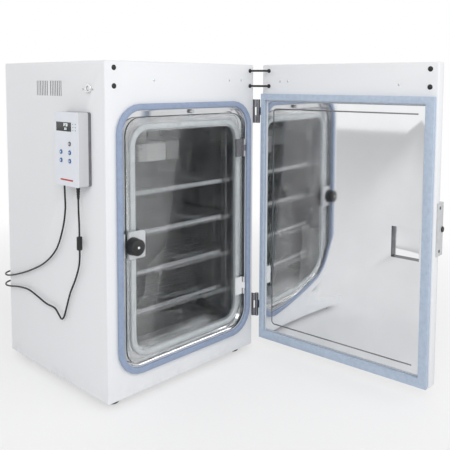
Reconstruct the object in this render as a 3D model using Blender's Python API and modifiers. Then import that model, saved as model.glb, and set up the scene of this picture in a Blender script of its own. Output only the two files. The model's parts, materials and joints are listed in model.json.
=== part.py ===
"""Tri-gas incubator with an insulated outer door and a glass inner door.

Metres, +Z up. The origin is the centre of the cabinet's underside, the front faces -Y,
and the outer door stands open, as the parts are drawn.
"""

import math

import bmesh
import bpy
from mathutils import Matrix, Vector

# Gap that touching pieces keep, how far a cutter runs past what it cuts, and how far the
# longer cutters of rings run each way
GAP = 0.0003
CUT = 0.01
THROUGH = 0.05

# Cabinet, outside
CABINET_WIDTH = 0.565
CABINET_DEPTH = 0.515
CABINET_HEIGHT = 0.900
SHEET = 0.0015
CASE_EDGE = 0.004
FOOT_HEIGHT = 0.022
FOOT_RADIUS = 0.019
FOOT_INSET = 0.045

# Pressed fields that stand out of the base pan and the rear panel, as margins from their edges
PRESS = 0.0006
PAN_FIELD_CLEAR = 0.010
PAN_FIELD_END = 0.030
REAR_FIELD_SIDE = 0.080
REAR_FIELD_BOTTOM = 0.280
REAR_FIELD_TOP = 0.150

# Opening in the cabinet front, as margins from the cabinet's sides, underside and top
OPENING_LEFT = 0.049
OPENING_RIGHT = 0.038
OPENING_BOTTOM = 0.073
OPENING_TOP = 0.130
OPENING_RADIUS = 0.060
THROAT_DEPTH = 0.016
FRONT_GASKET_WIDTH = 0.017
FRONT_GASKET_HEIGHT = 0.0105
FRONT_GASKET_CLEAR = 0.001
GASKET_ROUND = 0.003

# Mouth of the chamber, as margins inside the opening
MOUTH_LEFT = 0.057
MOUTH_RIGHT = 0.035
MOUTH_BOTTOM = 0.037
MOUTH_TOP = 0.058
MOUTH_RADIUS = 0.040

# Stainless chamber
LINER_SHEET = 0.0012
CHAMBER_LIP = 0.012
CHAMBER_RADIUS = 0.020

# Shelves and their racks
SHELF_COUNT = 4
SHELF_FIRST = 0.110
SHELF_TOP_SPACE = 0.180
SHELF_REAR_SPACE = 0.0248
SHELF_SHEET = 0.0015
SHELF_LIP = 0.012
SHELF_SIDE_GAP = 0.004
SHELF_FRONT = 0.045
SHELF_LENGTH = 0.360
SLOT_COLUMNS = 3
SLOT_ROWS = 9
SLOT_WIDTH = 0.010
RACK_SHEET = 0.003
RACK_POST = 0.020
RACK_FRONT = 0.060
RACK_REAR_INSET = 0.030
RACK_CLEAR = 0.024
LEDGE_REACH = 0.012
LEDGE_SHEET = 0.002
LEDGE_END = 0.002
RACK_HOLE = 0.008
RACK_HOLE_COUNT = 13
RACK_HOLE_END = 0.9

# Humidity tray on the chamber floor
TRAY_MARGIN = 0.056
TRAY_FRONT = 0.062
TRAY_LENGTH = 0.280
TRAY_HEIGHT = 0.025
TRAY_CORNER = 0.012

# Circulation fan under the chamber ceiling
FAN_DEPTH = 0.230
FAN_BOX = 0.110
FAN_BOX_HEIGHT = 0.054
FAN_DROP = 0.066
FAN_WALL = 0.002
FAN_NECK_RADIUS = 0.016
FAN_INTAKE_RADIUS = 0.040
FAN_RADIUS = 0.042
FAN_BLADES = 8
FAN_BLADE_HEIGHT = 0.020
SHAFT_RADIUS = 0.003
SHAFT_CLEAR = 0.0005
MOTOR_RADIUS = 0.020
MOTOR_HEIGHT = 0.044
SHAFT_ENTRY = 0.010
FAN_CORNER = 0.006
IMPELLER_DROP = 0.010
BLADE_LENGTH = 0.018
BLADE_SHEET = 0.002
BLADE_MIDDLE = 0.031
BLADE_LEAN = math.radians(35)
OUTLET_COUNT = 4
OUTLET_LENGTH = 0.060
OUTLET_HEIGHT = 0.005
OUTLET_PITCH = 0.010

# Sensor head on the chamber's rear wall
PROBE_RADIUS = 0.009
PROBE_LENGTH = 0.060
PROBE_SIDE = 0.100
PROBE_DROP = 0.070

# Electronics bay, open to the back panel
BAY_MARGIN = 0.060
BAY_DEPTH = 0.150
BAY_FLOOR = 0.051
BAY_ROOF = 0.020

# What stands in the bay: start and width as shares of the bay's width, then how far behind its
# front wall it starts, its length and its height
SUPPLY_ACROSS = (0.067, 0.225)
SUPPLY_DEPTH = 0.200
SUPPLY_LENGTH = 0.145
SUPPLY_HEIGHT = 0.042
BOARD_ACROSS = (0.596, 0.303)
BOARD_DEPTH = 0.215
BOARD_LENGTH = 0.115
BOARD_SHEET = 0.0016
BOARD_STANDOFF = 0.008
BOARD_LEG = 0.008
BOARD_LEG_INSET = 0.007
BOARD_CHIPS = (((0.035, 0.025), (0.030, 0.030, 0.005)), ((0.080, 0.020), (0.020, 0.025, 0.013)),
               ((0.025, 0.075), (0.085, 0.012, 0.009)))
VALVE_ACROSS = (0.348, 0.202)
VALVE_DEPTH = 0.250
VALVE_LENGTH = 0.030
VALVE_HEIGHT = 0.016
VALVE_COUNT = 3
COIL_RADIUS = 0.011
COIL_HEIGHT = 0.036

# Inner glass door
GLASS_SHEET = 0.005
GLASS_DEPTH = 0.003
RING_WIDTH = 0.015
RING_MARGIN = 0.005
RING_RADIUS = 0.045
GLASS_LEFT = 0.022
GLASS_RIGHT = 0.008
GLASS_BOTTOM = 0.012
GLASS_TOP = 0.020
GLASS_RADIUS = 0.048
INNER_AXIS_INSET = 0.001
INNER_AXIS_DEPTH = -0.0045
INNER_KNUCKLE = 0.0045
INNER_PIN = 0.002
INNER_HINGE_HEIGHT = 0.055
INNER_HINGE_Z = (0.205, 0.643)
CLAMP_WIDTH = 0.028
CLAMP_SHEET = 0.005
CLAMP_CLEAR = 0.0055
INNER_ARM_CLEAR = 0.001
INNER_ARM_SHEET = 0.0034
CLAMP_ARM_OVERLAP = 0.0015
CLAMP_ARM_FRONT = 0.004
CLAMP_ARM_BACK = 0.001

# Latch of the inner door
KNOB_FROM_LEFT = 0.014
KNOB_Z = 0.412
KNOB_RADIUS = 0.024
KNOB_FRONT = 0.034
# Outline of the knob, top first, as shares of its radius and of its height
KNOB_OUTLINE = ((0.0, 1.0), (0.80, 1.0), (0.92, 0.93), (0.95, 0.45), (1.0, 0.25), (1.0, 0.0))
BLOCK_WIDTH = 0.054
BLOCK_HEIGHT = 0.074
BLOCK_FRONT = 0.006
BLOCK_EDGE = 0.004
BLOCK_CORNER = 0.005
LATCH_SHAFT = 0.005
LATCH_CLEAR = 0.0005
TONGUE_REACH = 0.019
TONGUE_BEHIND = 0.001
TONGUE_TAIL = 0.006
TONGUE_WIDTH = 0.009
TONGUE_SHEET = 0.003
KEEPER_FRONT = 0.0045
KEEPER_LIP = 0.0115
KEEPER_HEIGHT = 0.064
KEEPER_SHEET = 0.002

# Outer door and its hinges
DOOR_OPEN = math.radians(94.0)
DOOR_GAP = 0.015
DOOR_THICKNESS = 0.037
DOOR_BOTTOM = 0.026
DOOR_AXIS_OUT = 0.012
DOOR_AXIS_FORWARD = 0.010
DOOR_GASKET_LEFT = 0.004
DOOR_GASKET_RIGHT = 0.004
DOOR_GASKET_TOP = 0.090
DOOR_GASKET_BOTTOM = 0.001
DOOR_GASKET_HEIGHT = 0.0142
DOOR_GASKET_CLEAR = 0.0025
PANEL_PROUD = 0.0035
PANEL_MARGIN = 0.005
PANEL_HINGE_SIDE = 0.008
PANEL_FREE_SIDE = 0.002
RECESS_WIDTH = 0.080
RECESS_HEIGHT = 0.086
RECESS_DEPTH = 0.027
RECESS_WALL = 0.0015
HINGE_Z = (0.130, 0.755)
HINGE_HEIGHT = 0.074
HINGE_KNUCKLE = 0.006
HINGE_PIN = 0.0025
HINGE_LEAF = 0.003
HINGE_LEAF_LENGTH = 0.026
HINGE_LEAF_FORWARD = 0.004
HINGE_LEAF_BACK = 0.005
HINGE_PIN_INSET = 0.004
HINGE_WEB = 0.003
HANDLE_BOTTOM = 0.385
HANDLE_HEIGHT = 0.143
HANDLE_WIDTH = 0.045
HANDLE_PROUD = 0.018
HANDLE_WALL = 0.003
HANDLE_POST = 0.012
HANDLE_END = 0.008
HANDLE_EDGE = 0.003
HANDLE_PLATE_START = 0.0148
HANDLE_PLATE_STEP = 0.004
LOCK_RADIUS = 0.008
LOCK_SHANK = 0.006
LOCK_PROUD = 0.003
LOCK_Z = 0.455
LOCK_END = 0.002

# Bridging cables from the cabinet's header to the door, below the cabinet's top
BRIDGE_RADIUS = 0.0032
BRIDGE_DROPS = (0.066, 0.019)
BRIDGE_CABINET_INSET = 0.018
BRIDGE_DOOR_INSET = 0.025
BRIDGE_POINTS = 9
BRIDGE_LEAN = 0.035

# Side vent and access port, with their heights below the cabinet's top
VENT_FRONT = 0.202
VENT_DROP = 0.094
VENT_HEIGHT = 0.042
VENT_SLOT = 0.004
VENT_PITCH = 0.009
VENT_SLOTS = 7
VENT_GROUP = 0.071
PORT_FRONT = 0.069
PORT_DROP = 0.072
PORT_RADIUS = 0.012
PORT_BORE = 0.007
PORT_HEIGHT = 0.005
PORT_RIM = 0.002
PORT_EDGE = 0.0015

# Controller on the left side
CONTROLLER_FRONT = 0.062
CONTROLLER_WIDTH = 0.112
CONTROLLER_BOTTOM = 0.572
CONTROLLER_HEIGHT = 0.194
CONTROLLER_BACK = 0.009
CONTROLLER_PROUD = 0.040
CONTROLLER_WALL = 0.0025
CONTROLLER_EDGE = 0.005
DISPLAY_WIDTH = 0.071
DISPLAY_HEIGHT = 0.024
DISPLAY_INSET = 0.032
DISPLAY_DROP = 0.026
DISPLAY_POCKET = 0.001
BUTTON_RADIUS = 0.0058
BUTTON_CLEAR = 0.0004
BUTTON_PROUD = 0.0022
BUTTON_EDGE = 0.0008
BUTTON_FLANGE = 0.0072
BUTTON_FLANGE_SHEET = 0.0015
BUTTON_COLUMNS = (0.040, 0.081)
BUTTON_ROWS = (0.112, 0.089, 0.067)

# Cables on the left side
CABLE_RADIUS = 0.0025
CABLE_STEP = 0.0145
GLAND_INSET = 0.045
GLAND_Z = (0.205, 0.237)
GLAND_RADIUS = 0.008
GLAND_LENGTH = 0.016
GLAND_PLATE = 0.004
GLAND_PLATE_SIDE = 0.014
GLAND_PLATE_END = 0.016
FERRITE_RADIUS = 0.0075
FERRITE_LENGTH = 0.036
FERRITE_Z = 0.4175
FERRITE_BORE = 0.0030
FERRITE_OUT = 0.017
FERRITE_DEPTH = 0.098
RELIEF_LENGTH = 0.034
RELIEF_TOP_RADIUS = 0.0055
RELIEF_TIP_RADIUS = 0.0036

# Rear fittings
MAINS_X = 0.180
MAINS_Z = 0.160
MAINS_WIDTH = 0.050
MAINS_HEIGHT = 0.030
MAINS_PROUD = 0.006
SOCKET_WIDTH = 0.026
SOCKET_HEIGHT = 0.018
SOCKET_FLOOR = 0.002
MAINS_CORNER = 0.003
INLET_X = 0.120
INLET_DROP = 0.085
INLET_PITCH = 0.034
INLET_BLOCK = 0.012
BARB_RADIUS = 0.0045
BARB_LENGTH = 0.024
BARB_RING = 0.012
BARB_RING_LENGTH = 0.006

# Working values that follow from the sizes above
FRONT_Y = -CABINET_DEPTH / 2
BACK_Y = CABINET_DEPTH / 2
LEFT_X = -CABINET_WIDTH / 2
RIGHT_X = CABINET_WIDTH / 2
COLLECTION = "tri_gas_incubator"


def inset(rect, left, right, bottom, top):
    """A rectangle (x0, x1, z0, z1) drawn in by a margin on each side."""
    return (rect[0] + left, rect[1] - right, rect[2] + bottom, rect[3] - top)


def grow(rect, margin):
    return inset(rect, -margin, -margin, -margin, -margin)


FRONT = (LEFT_X, RIGHT_X, 0.0, CABINET_HEIGHT)
OPENING = inset(FRONT, OPENING_LEFT, OPENING_RIGHT, OPENING_BOTTOM, OPENING_TOP)
MOUTH = inset(OPENING, MOUTH_LEFT, MOUTH_RIGHT, MOUTH_BOTTOM, MOUTH_TOP)
CHAMBER = grow(MOUTH, CHAMBER_LIP)
RING_INNER = grow(MOUTH, RING_MARGIN)
RING_OUTER = grow(RING_INNER, RING_WIDTH)
GLASS = inset(RING_OUTER, -GLASS_LEFT, -GLASS_RIGHT, -GLASS_BOTTOM, -GLASS_TOP)
CHAMBER_FRONT = THROAT_DEPTH + SHEET + GAP
CHAMBER_BACK = SHELF_FRONT + SHELF_LENGTH + SHELF_REAR_SPACE
CENTRE_X = (CHAMBER[0] + CHAMBER[1]) / 2
SHELF_RISE = CHAMBER[3] - CHAMBER[2] - SHELF_FIRST - SHELF_TOP_SPACE
SHELF_PITCH = SHELF_RISE / (SHELF_COUNT - 1)
SHELF_LEVELS = [CHAMBER[2] + SHELF_FIRST + SHELF_PITCH * k for k in range(SHELF_COUNT)]
RACK_REAR = SHELF_FRONT + SHELF_LENGTH - RACK_REAR_INSET
BAY_WIDTH = CABINET_WIDTH - 2 * BAY_MARGIN
VENT_BOTTOM = CABINET_HEIGHT - VENT_DROP
PORT_Z = CABINET_HEIGHT - PORT_DROP
INLET_Z = CABINET_HEIGHT - INLET_DROP
AXIS_X = GLASS[1] - INNER_AXIS_INSET
KNOB_X = GLASS[0] + KNOB_FROM_LEFT
COVER_FRONT = LEFT_X - CONTROLLER_PROUD


def into(depth):
    """World Y of a depth behind the cabinet's front plane."""
    return FRONT_Y + depth


def material(name, colour, roughness, metallic=0.0, alpha=1.0):
    found = bpy.data.materials.get(name)
    if found:
        return found
    made = bpy.data.materials.new(name)
    made.use_nodes = True
    shader = made.node_tree.nodes["Principled BSDF"]
    shader.inputs["Base Color"].default_value = (*colour, 1.0)
    shader.inputs["Roughness"].default_value = roughness
    shader.inputs["Metallic"].default_value = metallic
    shader.inputs["Alpha"].default_value = alpha
    made.diffuse_color = (*colour, alpha)
    return made


def painted():
    return material("painted_steel", (0.72, 0.75, 0.78), 0.4)


def stainless():
    return material("stainless_steel", (0.62, 0.63, 0.64), 0.25, 1.0)


def polished():
    return material("polished_steel", (0.75, 0.76, 0.78), 0.06, 1.0)


def foam():
    return material("insulation_foam", (0.85, 0.80, 0.62), 0.95)


def gasket_rubber():
    return material("blue_grey_silicone", (0.25, 0.34, 0.48), 0.6)


def clear_silicone():
    return material("pale_silicone", (0.75, 0.78, 0.78), 0.5)


def aluminium():
    return material("aluminium_box", (0.66, 0.67, 0.69), 0.35, 1.0)


def black_rubber():
    return material("black_rubber", (0.03, 0.03, 0.03), 0.7)


def black_plastic():
    return material("black_plastic", (0.04, 0.04, 0.045), 0.45)


def grey_plastic():
    return material("grey_plastic", (0.42, 0.43, 0.45), 0.5)


def pale_plastic():
    return material("pale_plastic", (0.62, 0.64, 0.66), 0.45)


def dark_chrome():
    return material("dark_chrome", (0.25, 0.25, 0.27), 0.2, 1.0)


for old in list(bpy.data.objects):
    bpy.data.objects.remove(old, do_unlink=True)

PARTS = bpy.data.collections.new(COLLECTION)
bpy.context.scene.collection.children.link(PARTS)
CUTTERS = bpy.data.collections.new("cutters")
bpy.context.scene.collection.children.link(CUTTERS)


def hinge_empty(name, location, turn=0.0):
    """An empty on a joint's axis; what moves with the joint is its child."""
    empty = bpy.data.objects.new(name, None)
    empty.empty_display_size = 0.05
    empty.location = location
    empty.rotation_euler = (0.0, 0.0, turn)
    PARTS.objects.link(empty)
    return empty


def place(name, bm, finish, at=(0, 0, 0), parent=None, turn=(0, 0, 0)):
    """Turn a bmesh into a named object of the assembly."""
    bmesh.ops.recalc_face_normals(bm, faces=bm.faces)
    mesh = bpy.data.meshes.new(name)
    bm.to_mesh(mesh)
    bm.free()
    thing = bpy.data.objects.new(name, mesh)
    mesh.materials.append(finish)
    mesh.shade_smooth()
    mesh.set_sharp_from_angle(angle=math.radians(35))
    PARTS.objects.link(thing)
    thing.location = at
    thing.rotation_euler = turn
    thing.parent = parent
    return thing


def make_cutter(bm, at=(0, 0, 0), parent=None, turn=(0, 0, 0)):
    bmesh.ops.recalc_face_normals(bm, faces=bm.faces)
    mesh = bpy.data.meshes.new("cutter")
    bm.to_mesh(mesh)
    bm.free()
    tool = bpy.data.objects.new("cutter", mesh)
    CUTTERS.objects.link(tool)
    tool.location = at
    tool.rotation_euler = turn
    tool.parent = parent
    tool.hide_render = True
    tool.display_type = "WIRE"
    return tool


def boolean(target, tool, operation="DIFFERENCE"):
    step = target.modifiers.new(operation.lower(), "BOOLEAN")
    step.operation = operation
    step.object = tool
    step.solver = "EXACT"
    return step


def block(lo, hi, along=None, radius=0.0, steps=4):
    """A box as a bmesh; its edges along one axis, or all of them, can be rounded."""
    bm = bmesh.new()
    bmesh.ops.create_cube(bm, size=1.0)
    size = Vector(hi) - Vector(lo)
    bmesh.ops.scale(bm, vec=size, verts=bm.verts)
    bmesh.ops.translate(bm, vec=(Vector(lo) + Vector(hi)) / 2, verts=bm.verts)
    if radius > 0.0:
        chosen = []
        for edge in bm.edges:
            way = (edge.verts[1].co - edge.verts[0].co).normalized()
            if along is None or abs(way[along]) > 0.9:
                chosen.append(edge)
        bmesh.ops.bevel(bm, geom=chosen, offset=radius, segments=steps, affect="EDGES",
                        profile=0.5)
    return bm


def blocks(boxes):
    """Several separate boxes in one bmesh."""
    bm = bmesh.new()
    for lo, hi in boxes:
        made = bmesh.ops.create_cube(bm, size=1.0)["verts"]
        bmesh.ops.scale(bm, vec=Vector(hi) - Vector(lo), verts=made)
        bmesh.ops.translate(bm, vec=(Vector(lo) + Vector(hi)) / 2, verts=made)
    return bm


def rod(radius, start, end, sides=16, tip=None):
    """A closed round bar, or a taper, from one point to another."""
    bm = bmesh.new()
    run = Vector(end) - Vector(start)
    bmesh.ops.create_cone(bm, cap_ends=True, segments=sides, radius1=radius,
                          radius2=radius if tip is None else tip, depth=run.length)
    turn = Vector((0, 0, 1)).rotation_difference(run.normalized()).to_matrix().to_4x4()
    move = Matrix.Translation((Vector(start) + Vector(end)) / 2)
    bmesh.ops.transform(bm, matrix=move @ turn, verts=bm.verts)
    return bm


def slab(rect, near, far, radius=0.0, steps=4):
    """A plate in the XZ plane between two depths behind the cabinet's front."""
    lo = (rect[0], into(near), rect[2])
    hi = (rect[1], into(far), rect[3])
    return block(lo, hi, along=1, radius=radius, steps=steps)


def round_edges(thing, width, steps=2, angle=60):
    bevel = thing.modifiers.new("rounding", "BEVEL")
    bevel.width = width
    bevel.segments = steps
    bevel.limit_method = "ANGLE"
    bevel.angle_limit = math.radians(angle)
    bevel.use_clamp_overlap = True
    return bevel


def turned(name, profile, finish, at, turn=(0, 0, 0), parent=None, sides=20):
    """A profile of (radius, height) points, top first, turned about its own Z."""
    bm = bmesh.new()
    corners = [bm.verts.new((r, 0.0, z)) for r, z in profile]
    for a, b in zip(corners, corners[1:]):
        bm.edges.new((a, b))
    mesh = bpy.data.meshes.new(name)
    bm.to_mesh(mesh)
    bm.free()
    thing = bpy.data.objects.new(name, mesh)
    mesh.materials.append(finish)
    PARTS.objects.link(thing)
    thing.location = at
    thing.rotation_euler = turn
    thing.parent = parent
    screw = thing.modifiers.new("turning", "SCREW")
    screw.steps = sides
    screw.render_steps = sides
    screw.use_merge_vertices = True
    screw.merge_threshold = 0.00001
    screw.use_smooth_shade = True
    return thing


def smooth_route(points, step):
    """Points at about one step apart on a smooth curve through a cord's own points."""
    route = [Vector(p) for p in points]
    ends = [2 * route[0] - route[1]] + route + [2 * route[-1] - route[-2]]
    dense = []
    for p0, p1, p2, p3 in zip(ends, ends[1:], ends[2:], ends[3:]):
        for k in range(12):
            t = k / 12
            dense.append(0.5 * ((2 * p1) + (p2 - p0) * t + (2 * p0 - 5 * p1 + 4 * p2 - p3) * t * t
                                + (3 * p1 - p0 - 3 * p2 + p3) * t * t * t))
    dense.append(route[-1])
    lengths = [0.0]
    for a, b in zip(dense, dense[1:]):
        lengths.append(lengths[-1] + (b - a).length)
    count = max(2, round(lengths[-1] / step))
    even = []
    at = 0
    for k in range(count + 1):
        wanted = lengths[-1] * k / count
        while at < len(dense) - 2 and lengths[at + 1] < wanted:
            at += 1
        share = (wanted - lengths[at]) / (lengths[at + 1] - lengths[at])
        even.append(dense[at].lerp(dense[at + 1], min(1.0, share)))
    return even


def cord_tube(name, points, radius, finish):
    curve = bpy.data.curves.new(name, "CURVE")
    curve.dimensions = "3D"
    curve.bevel_depth = radius
    curve.bevel_resolution = 2
    curve.use_fill_caps = True
    spline = curve.splines.new("POLY")
    spline.points.add(len(points) - 1)
    for spot, where in zip(spline.points, points):
        spot.co = (*where, 1.0)
    curve.materials.append(finish)
    thing = bpy.data.objects.new(name, curve)
    PARTS.objects.link(thing)
    return thing


def outer_case():
    """Folded painted sheet: front, sides and top in one, open at the back and below."""
    bm = block((LEFT_X, FRONT_Y, 0), (RIGHT_X, BACK_Y, CABINET_HEIGHT))
    bm.faces.ensure_lookup_table()
    gone = [f for f in bm.faces if f.normal.y > 0.9 or f.normal.z < -0.9]
    bmesh.ops.delete(bm, geom=gone, context="FACES")
    folds = [e for e in bm.edges if len(e.link_faces) == 2]
    bmesh.ops.bevel(bm, geom=folds, offset=CASE_EDGE, segments=3, affect="EDGES", profile=0.5)
    case = place("outer_case", bm, painted())
    wall = case.modifiers.new("sheet", "SOLIDIFY")
    wall.thickness = SHEET
    wall.offset = -1.0
    wall.use_even_offset = True
    opening = slab(OPENING, -CUT, 2 * THROAT_DEPTH, OPENING_RADIUS, 6)
    boolean(case, make_cutter(opening))
    slots = []
    for group in range(2):
        for k in range(VENT_SLOTS):
            start = into(VENT_FRONT + group * VENT_GROUP + k * VENT_PITCH)
            slots.append(((LEFT_X - CUT, start, VENT_BOTTOM),
                          (LEFT_X + CUT, start + VENT_SLOT, VENT_BOTTOM + VENT_HEIGHT)))
    boolean(case, make_cutter(blocks(slots)))
    port = rod(PORT_BORE, (LEFT_X - CUT, into(PORT_FRONT), PORT_Z),
               (LEFT_X + CUT, into(PORT_FRONT), PORT_Z))
    boolean(case, make_cutter(port))


def insulation_core():
    """Foam body between the case and the chamber, with the electronics bay let into it."""
    skin = SHEET + GAP
    body = (LEFT_X + skin, RIGHT_X - skin, SHEET + 2 * GAP, CABINET_HEIGHT - skin)
    bm = block((body[0], into(skin), body[2]), (body[1], BACK_Y - skin, body[3]),
               radius=CASE_EDGE - GAP, steps=1)
    core = place("insulation_core", bm, foam())
    throat = slab(grow(OPENING, GAP), -CUT, THROAT_DEPTH + SHEET + GAP, OPENING_RADIUS, 6)
    boolean(core, make_cutter(throat))
    room = slab(grow(CHAMBER, LINER_SHEET + GAP), THROAT_DEPTH, CHAMBER_BACK + LINER_SHEET + GAP,
                CHAMBER_RADIUS, 3)
    boolean(core, make_cutter(room))
    bay = block((LEFT_X + BAY_MARGIN, into(BAY_DEPTH), CHAMBER[3] + BAY_FLOOR),
                (RIGHT_X - BAY_MARGIN, BACK_Y + CUT, CABINET_HEIGHT - BAY_ROOF))
    boolean(core, make_cutter(bay))
    well = rod(MOTOR_RADIUS + GAP, (CENTRE_X, into(FAN_DEPTH), CHAMBER[3] - CUT),
               (CENTRE_X, into(FAN_DEPTH), CHAMBER[3] + BAY_FLOOR + CUT), 20)
    boolean(core, make_cutter(well))
    vent_end = VENT_FRONT + VENT_GROUP + VENT_SLOTS * VENT_PITCH
    duct = block((LEFT_X - CUT, into(VENT_FRONT), VENT_BOTTOM),
                 (LEFT_X + BAY_MARGIN + CUT, into(vent_end), VENT_BOTTOM + VENT_HEIGHT))
    boolean(core, make_cutter(duct))


def mouth_flange():
    """Stainless throat and flange with the inner door's hinge lugs welded on."""
    bm = slab(grow(OPENING, -GAP), 0.0, THROAT_DEPTH + SHEET, OPENING_RADIUS - GAP, 6)
    flange = place("mouth_flange", bm, stainless())
    hollow = slab(grow(OPENING, -GAP - SHEET), -CUT, THROAT_DEPTH,
                  OPENING_RADIUS - GAP - SHEET, 6)
    boolean(flange, make_cutter(hollow))
    boolean(flange, make_cutter(slab(MOUTH, -CUT, 2 * THROAT_DEPTH, MOUTH_RADIUS, 6)))
    third = INNER_HINGE_HEIGHT / 3
    axis_y = into(INNER_AXIS_DEPTH)
    arm_x = GLASS[1] + INNER_ARM_CLEAR
    for middle in INNER_HINGE_Z:
        for side in (-1, 1):
            near = middle + side * (third / 2 + GAP)
            far = middle + side * INNER_HINGE_HEIGHT / 2
            low, high = min(near, far), max(near, far)
            arm = block((arm_x, axis_y, low),
                        (arm_x + INNER_ARM_SHEET, into(THROAT_DEPTH + SHEET / 2), high))
            boolean(flange, make_cutter(arm), "UNION")
            knuckle = rod(INNER_KNUCKLE, (AXIS_X, axis_y, low), (AXIS_X, axis_y, high), 12)
            boolean(flange, make_cutter(knuckle), "UNION")
        pin = rod(INNER_PIN, (AXIS_X, axis_y, middle - third), (AXIS_X, axis_y, middle + third), 8)
        boolean(flange, make_cutter(pin), "UNION")


def chamber_liner():
    """Welded stainless chamber with coved corners, open to the mouth."""
    outer = grow(CHAMBER, LINER_SHEET)
    bm = slab(outer, CHAMBER_FRONT, CHAMBER_BACK + LINER_SHEET, CHAMBER_RADIUS, 3)
    liner = place("chamber_liner", bm, stainless())
    hollow = slab(CHAMBER, -CUT, CHAMBER_BACK, CHAMBER_RADIUS - LINER_SHEET, 3)
    boolean(liner, make_cutter(hollow))
    shaft_hole = rod(SHAFT_RADIUS + SHAFT_CLEAR, (CENTRE_X, into(FAN_DEPTH), CHAMBER[3] - CUT),
                     (CENTRE_X, into(FAN_DEPTH), CHAMBER[3] + CUT), 12)
    boolean(liner, make_cutter(shaft_hole))


def cabinet_closing_panels():
    """Rear panel and base pan that close the folded case, each with a pressed flat field."""
    skin = SHEET + GAP
    rear = block((LEFT_X + skin, BACK_Y - SHEET, SHEET + 2 * GAP),
                 (RIGHT_X - skin, BACK_Y, CABINET_HEIGHT - skin), along=1, radius=CASE_EDGE)
    panel = place("back_panel", rear, painted())
    field = block((LEFT_X + REAR_FIELD_SIDE, BACK_Y - SHEET / 2, REAR_FIELD_BOTTOM),
                  (RIGHT_X - REAR_FIELD_SIDE, BACK_Y + PRESS, CABINET_HEIGHT - REAR_FIELD_TOP))
    boolean(panel, make_cutter(field), "UNION")

    base = block((LEFT_X + skin, FRONT_Y + skin, PRESS), (RIGHT_X - skin, BACK_Y, SHEET + GAP),
                 along=2, radius=CASE_EDGE)
    pan = place("base_pan", base, painted())
    side = FOOT_INSET + FOOT_RADIUS + PAN_FIELD_CLEAR
    field = block((LEFT_X + side, FRONT_Y + PAN_FIELD_END, 0),
                  (RIGHT_X - side, BACK_Y - PAN_FIELD_END, 2 * PRESS))
    boolean(pan, make_cutter(field), "UNION")


def feet():
    """Four turned rubber feet under the base pan, at the corners of its pressed field."""
    top = PRESS - GAP
    profile = [(0, top), (0.75 * FOOT_RADIUS, top), (0.8 * FOOT_RADIUS, -0.3 * FOOT_HEIGHT),
               (FOOT_RADIUS, -0.6 * FOOT_HEIGHT), (FOOT_RADIUS, -0.9 * FOOT_HEIGHT),
               (0.88 * FOOT_RADIUS, -FOOT_HEIGHT), (0, -FOOT_HEIGHT)]
    for row, y in (("front", FRONT_Y + FOOT_INSET), ("rear", BACK_Y - FOOT_INSET)):
        for side, x in (("left", LEFT_X + FOOT_INSET), ("right", RIGHT_X - FOOT_INSET)):
            turned(f"foot_{row}_{side}", profile, black_rubber(), (x, y, 0), sides=14)


def front_gasket():
    """Silicone bulb seal round the opening."""
    inner = grow(OPENING, FRONT_GASKET_CLEAR)
    outer = grow(inner, FRONT_GASKET_WIDTH)
    radius = OPENING_RADIUS + FRONT_GASKET_CLEAR
    bm = slab(outer, -FRONT_GASKET_HEIGHT - GAP, -GAP, radius + FRONT_GASKET_WIDTH, 6)
    seal = place("front_gasket", bm, gasket_rubber())
    boolean(seal, make_cutter(slab(inner, -THROUGH, THROUGH, radius, 6)))
    round_edges(seal, GASKET_ROUND)


def shelf_racks():
    """Two punched stainless racks with a ledge under each shelf."""
    low = CHAMBER[2] + RACK_CLEAR
    high = CHAMBER[3] - RACK_CLEAR
    pitch = (high - low) / (RACK_HOLE_COUNT - 1 + 2 * RACK_HOLE_END)
    for side, wall, inward in (("left", CHAMBER[0], 1), ("right", CHAMBER[1], -1)):
        face = wall + inward * GAP
        x = sorted((face, face + inward * RACK_SHEET))
        tip = sorted((face + inward * RACK_SHEET / 2, face + inward * (RACK_SHEET + LEDGE_REACH)))
        front = block((x[0], into(RACK_FRONT), low), (x[1], into(RACK_FRONT + RACK_POST), high))
        rack = place(f"shelf_rack_{side}", front, stainless())
        ledges = []
        for level in SHELF_LEVELS:
            ledges.append(((tip[0], into(RACK_FRONT + LEDGE_END), level - LEDGE_SHEET),
                           (tip[1], into(RACK_REAR + RACK_POST - LEDGE_END), level)))
        boolean(rack, make_cutter(blocks(ledges)), "UNION")
        rear = block((x[0], into(RACK_REAR), low), (x[1], into(RACK_REAR + RACK_POST), high))
        boolean(rack, make_cutter(rear), "UNION")
        holes = []
        for post in (RACK_FRONT, RACK_REAR):
            middle = into(post + RACK_POST / 2)
            for k in range(RACK_HOLE_COUNT):
                z = low + pitch * (k + RACK_HOLE_END)
                if any(abs(z - level) < RACK_HOLE for level in SHELF_LEVELS):
                    continue
                holes.append(((x[0] - CUT, middle - RACK_HOLE / 2, z - RACK_HOLE / 2),
                              (x[1] + CUT, middle + RACK_HOLE / 2, z + RACK_HOLE / 2)))
        boolean(rack, make_cutter(blocks(holes)))


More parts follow.
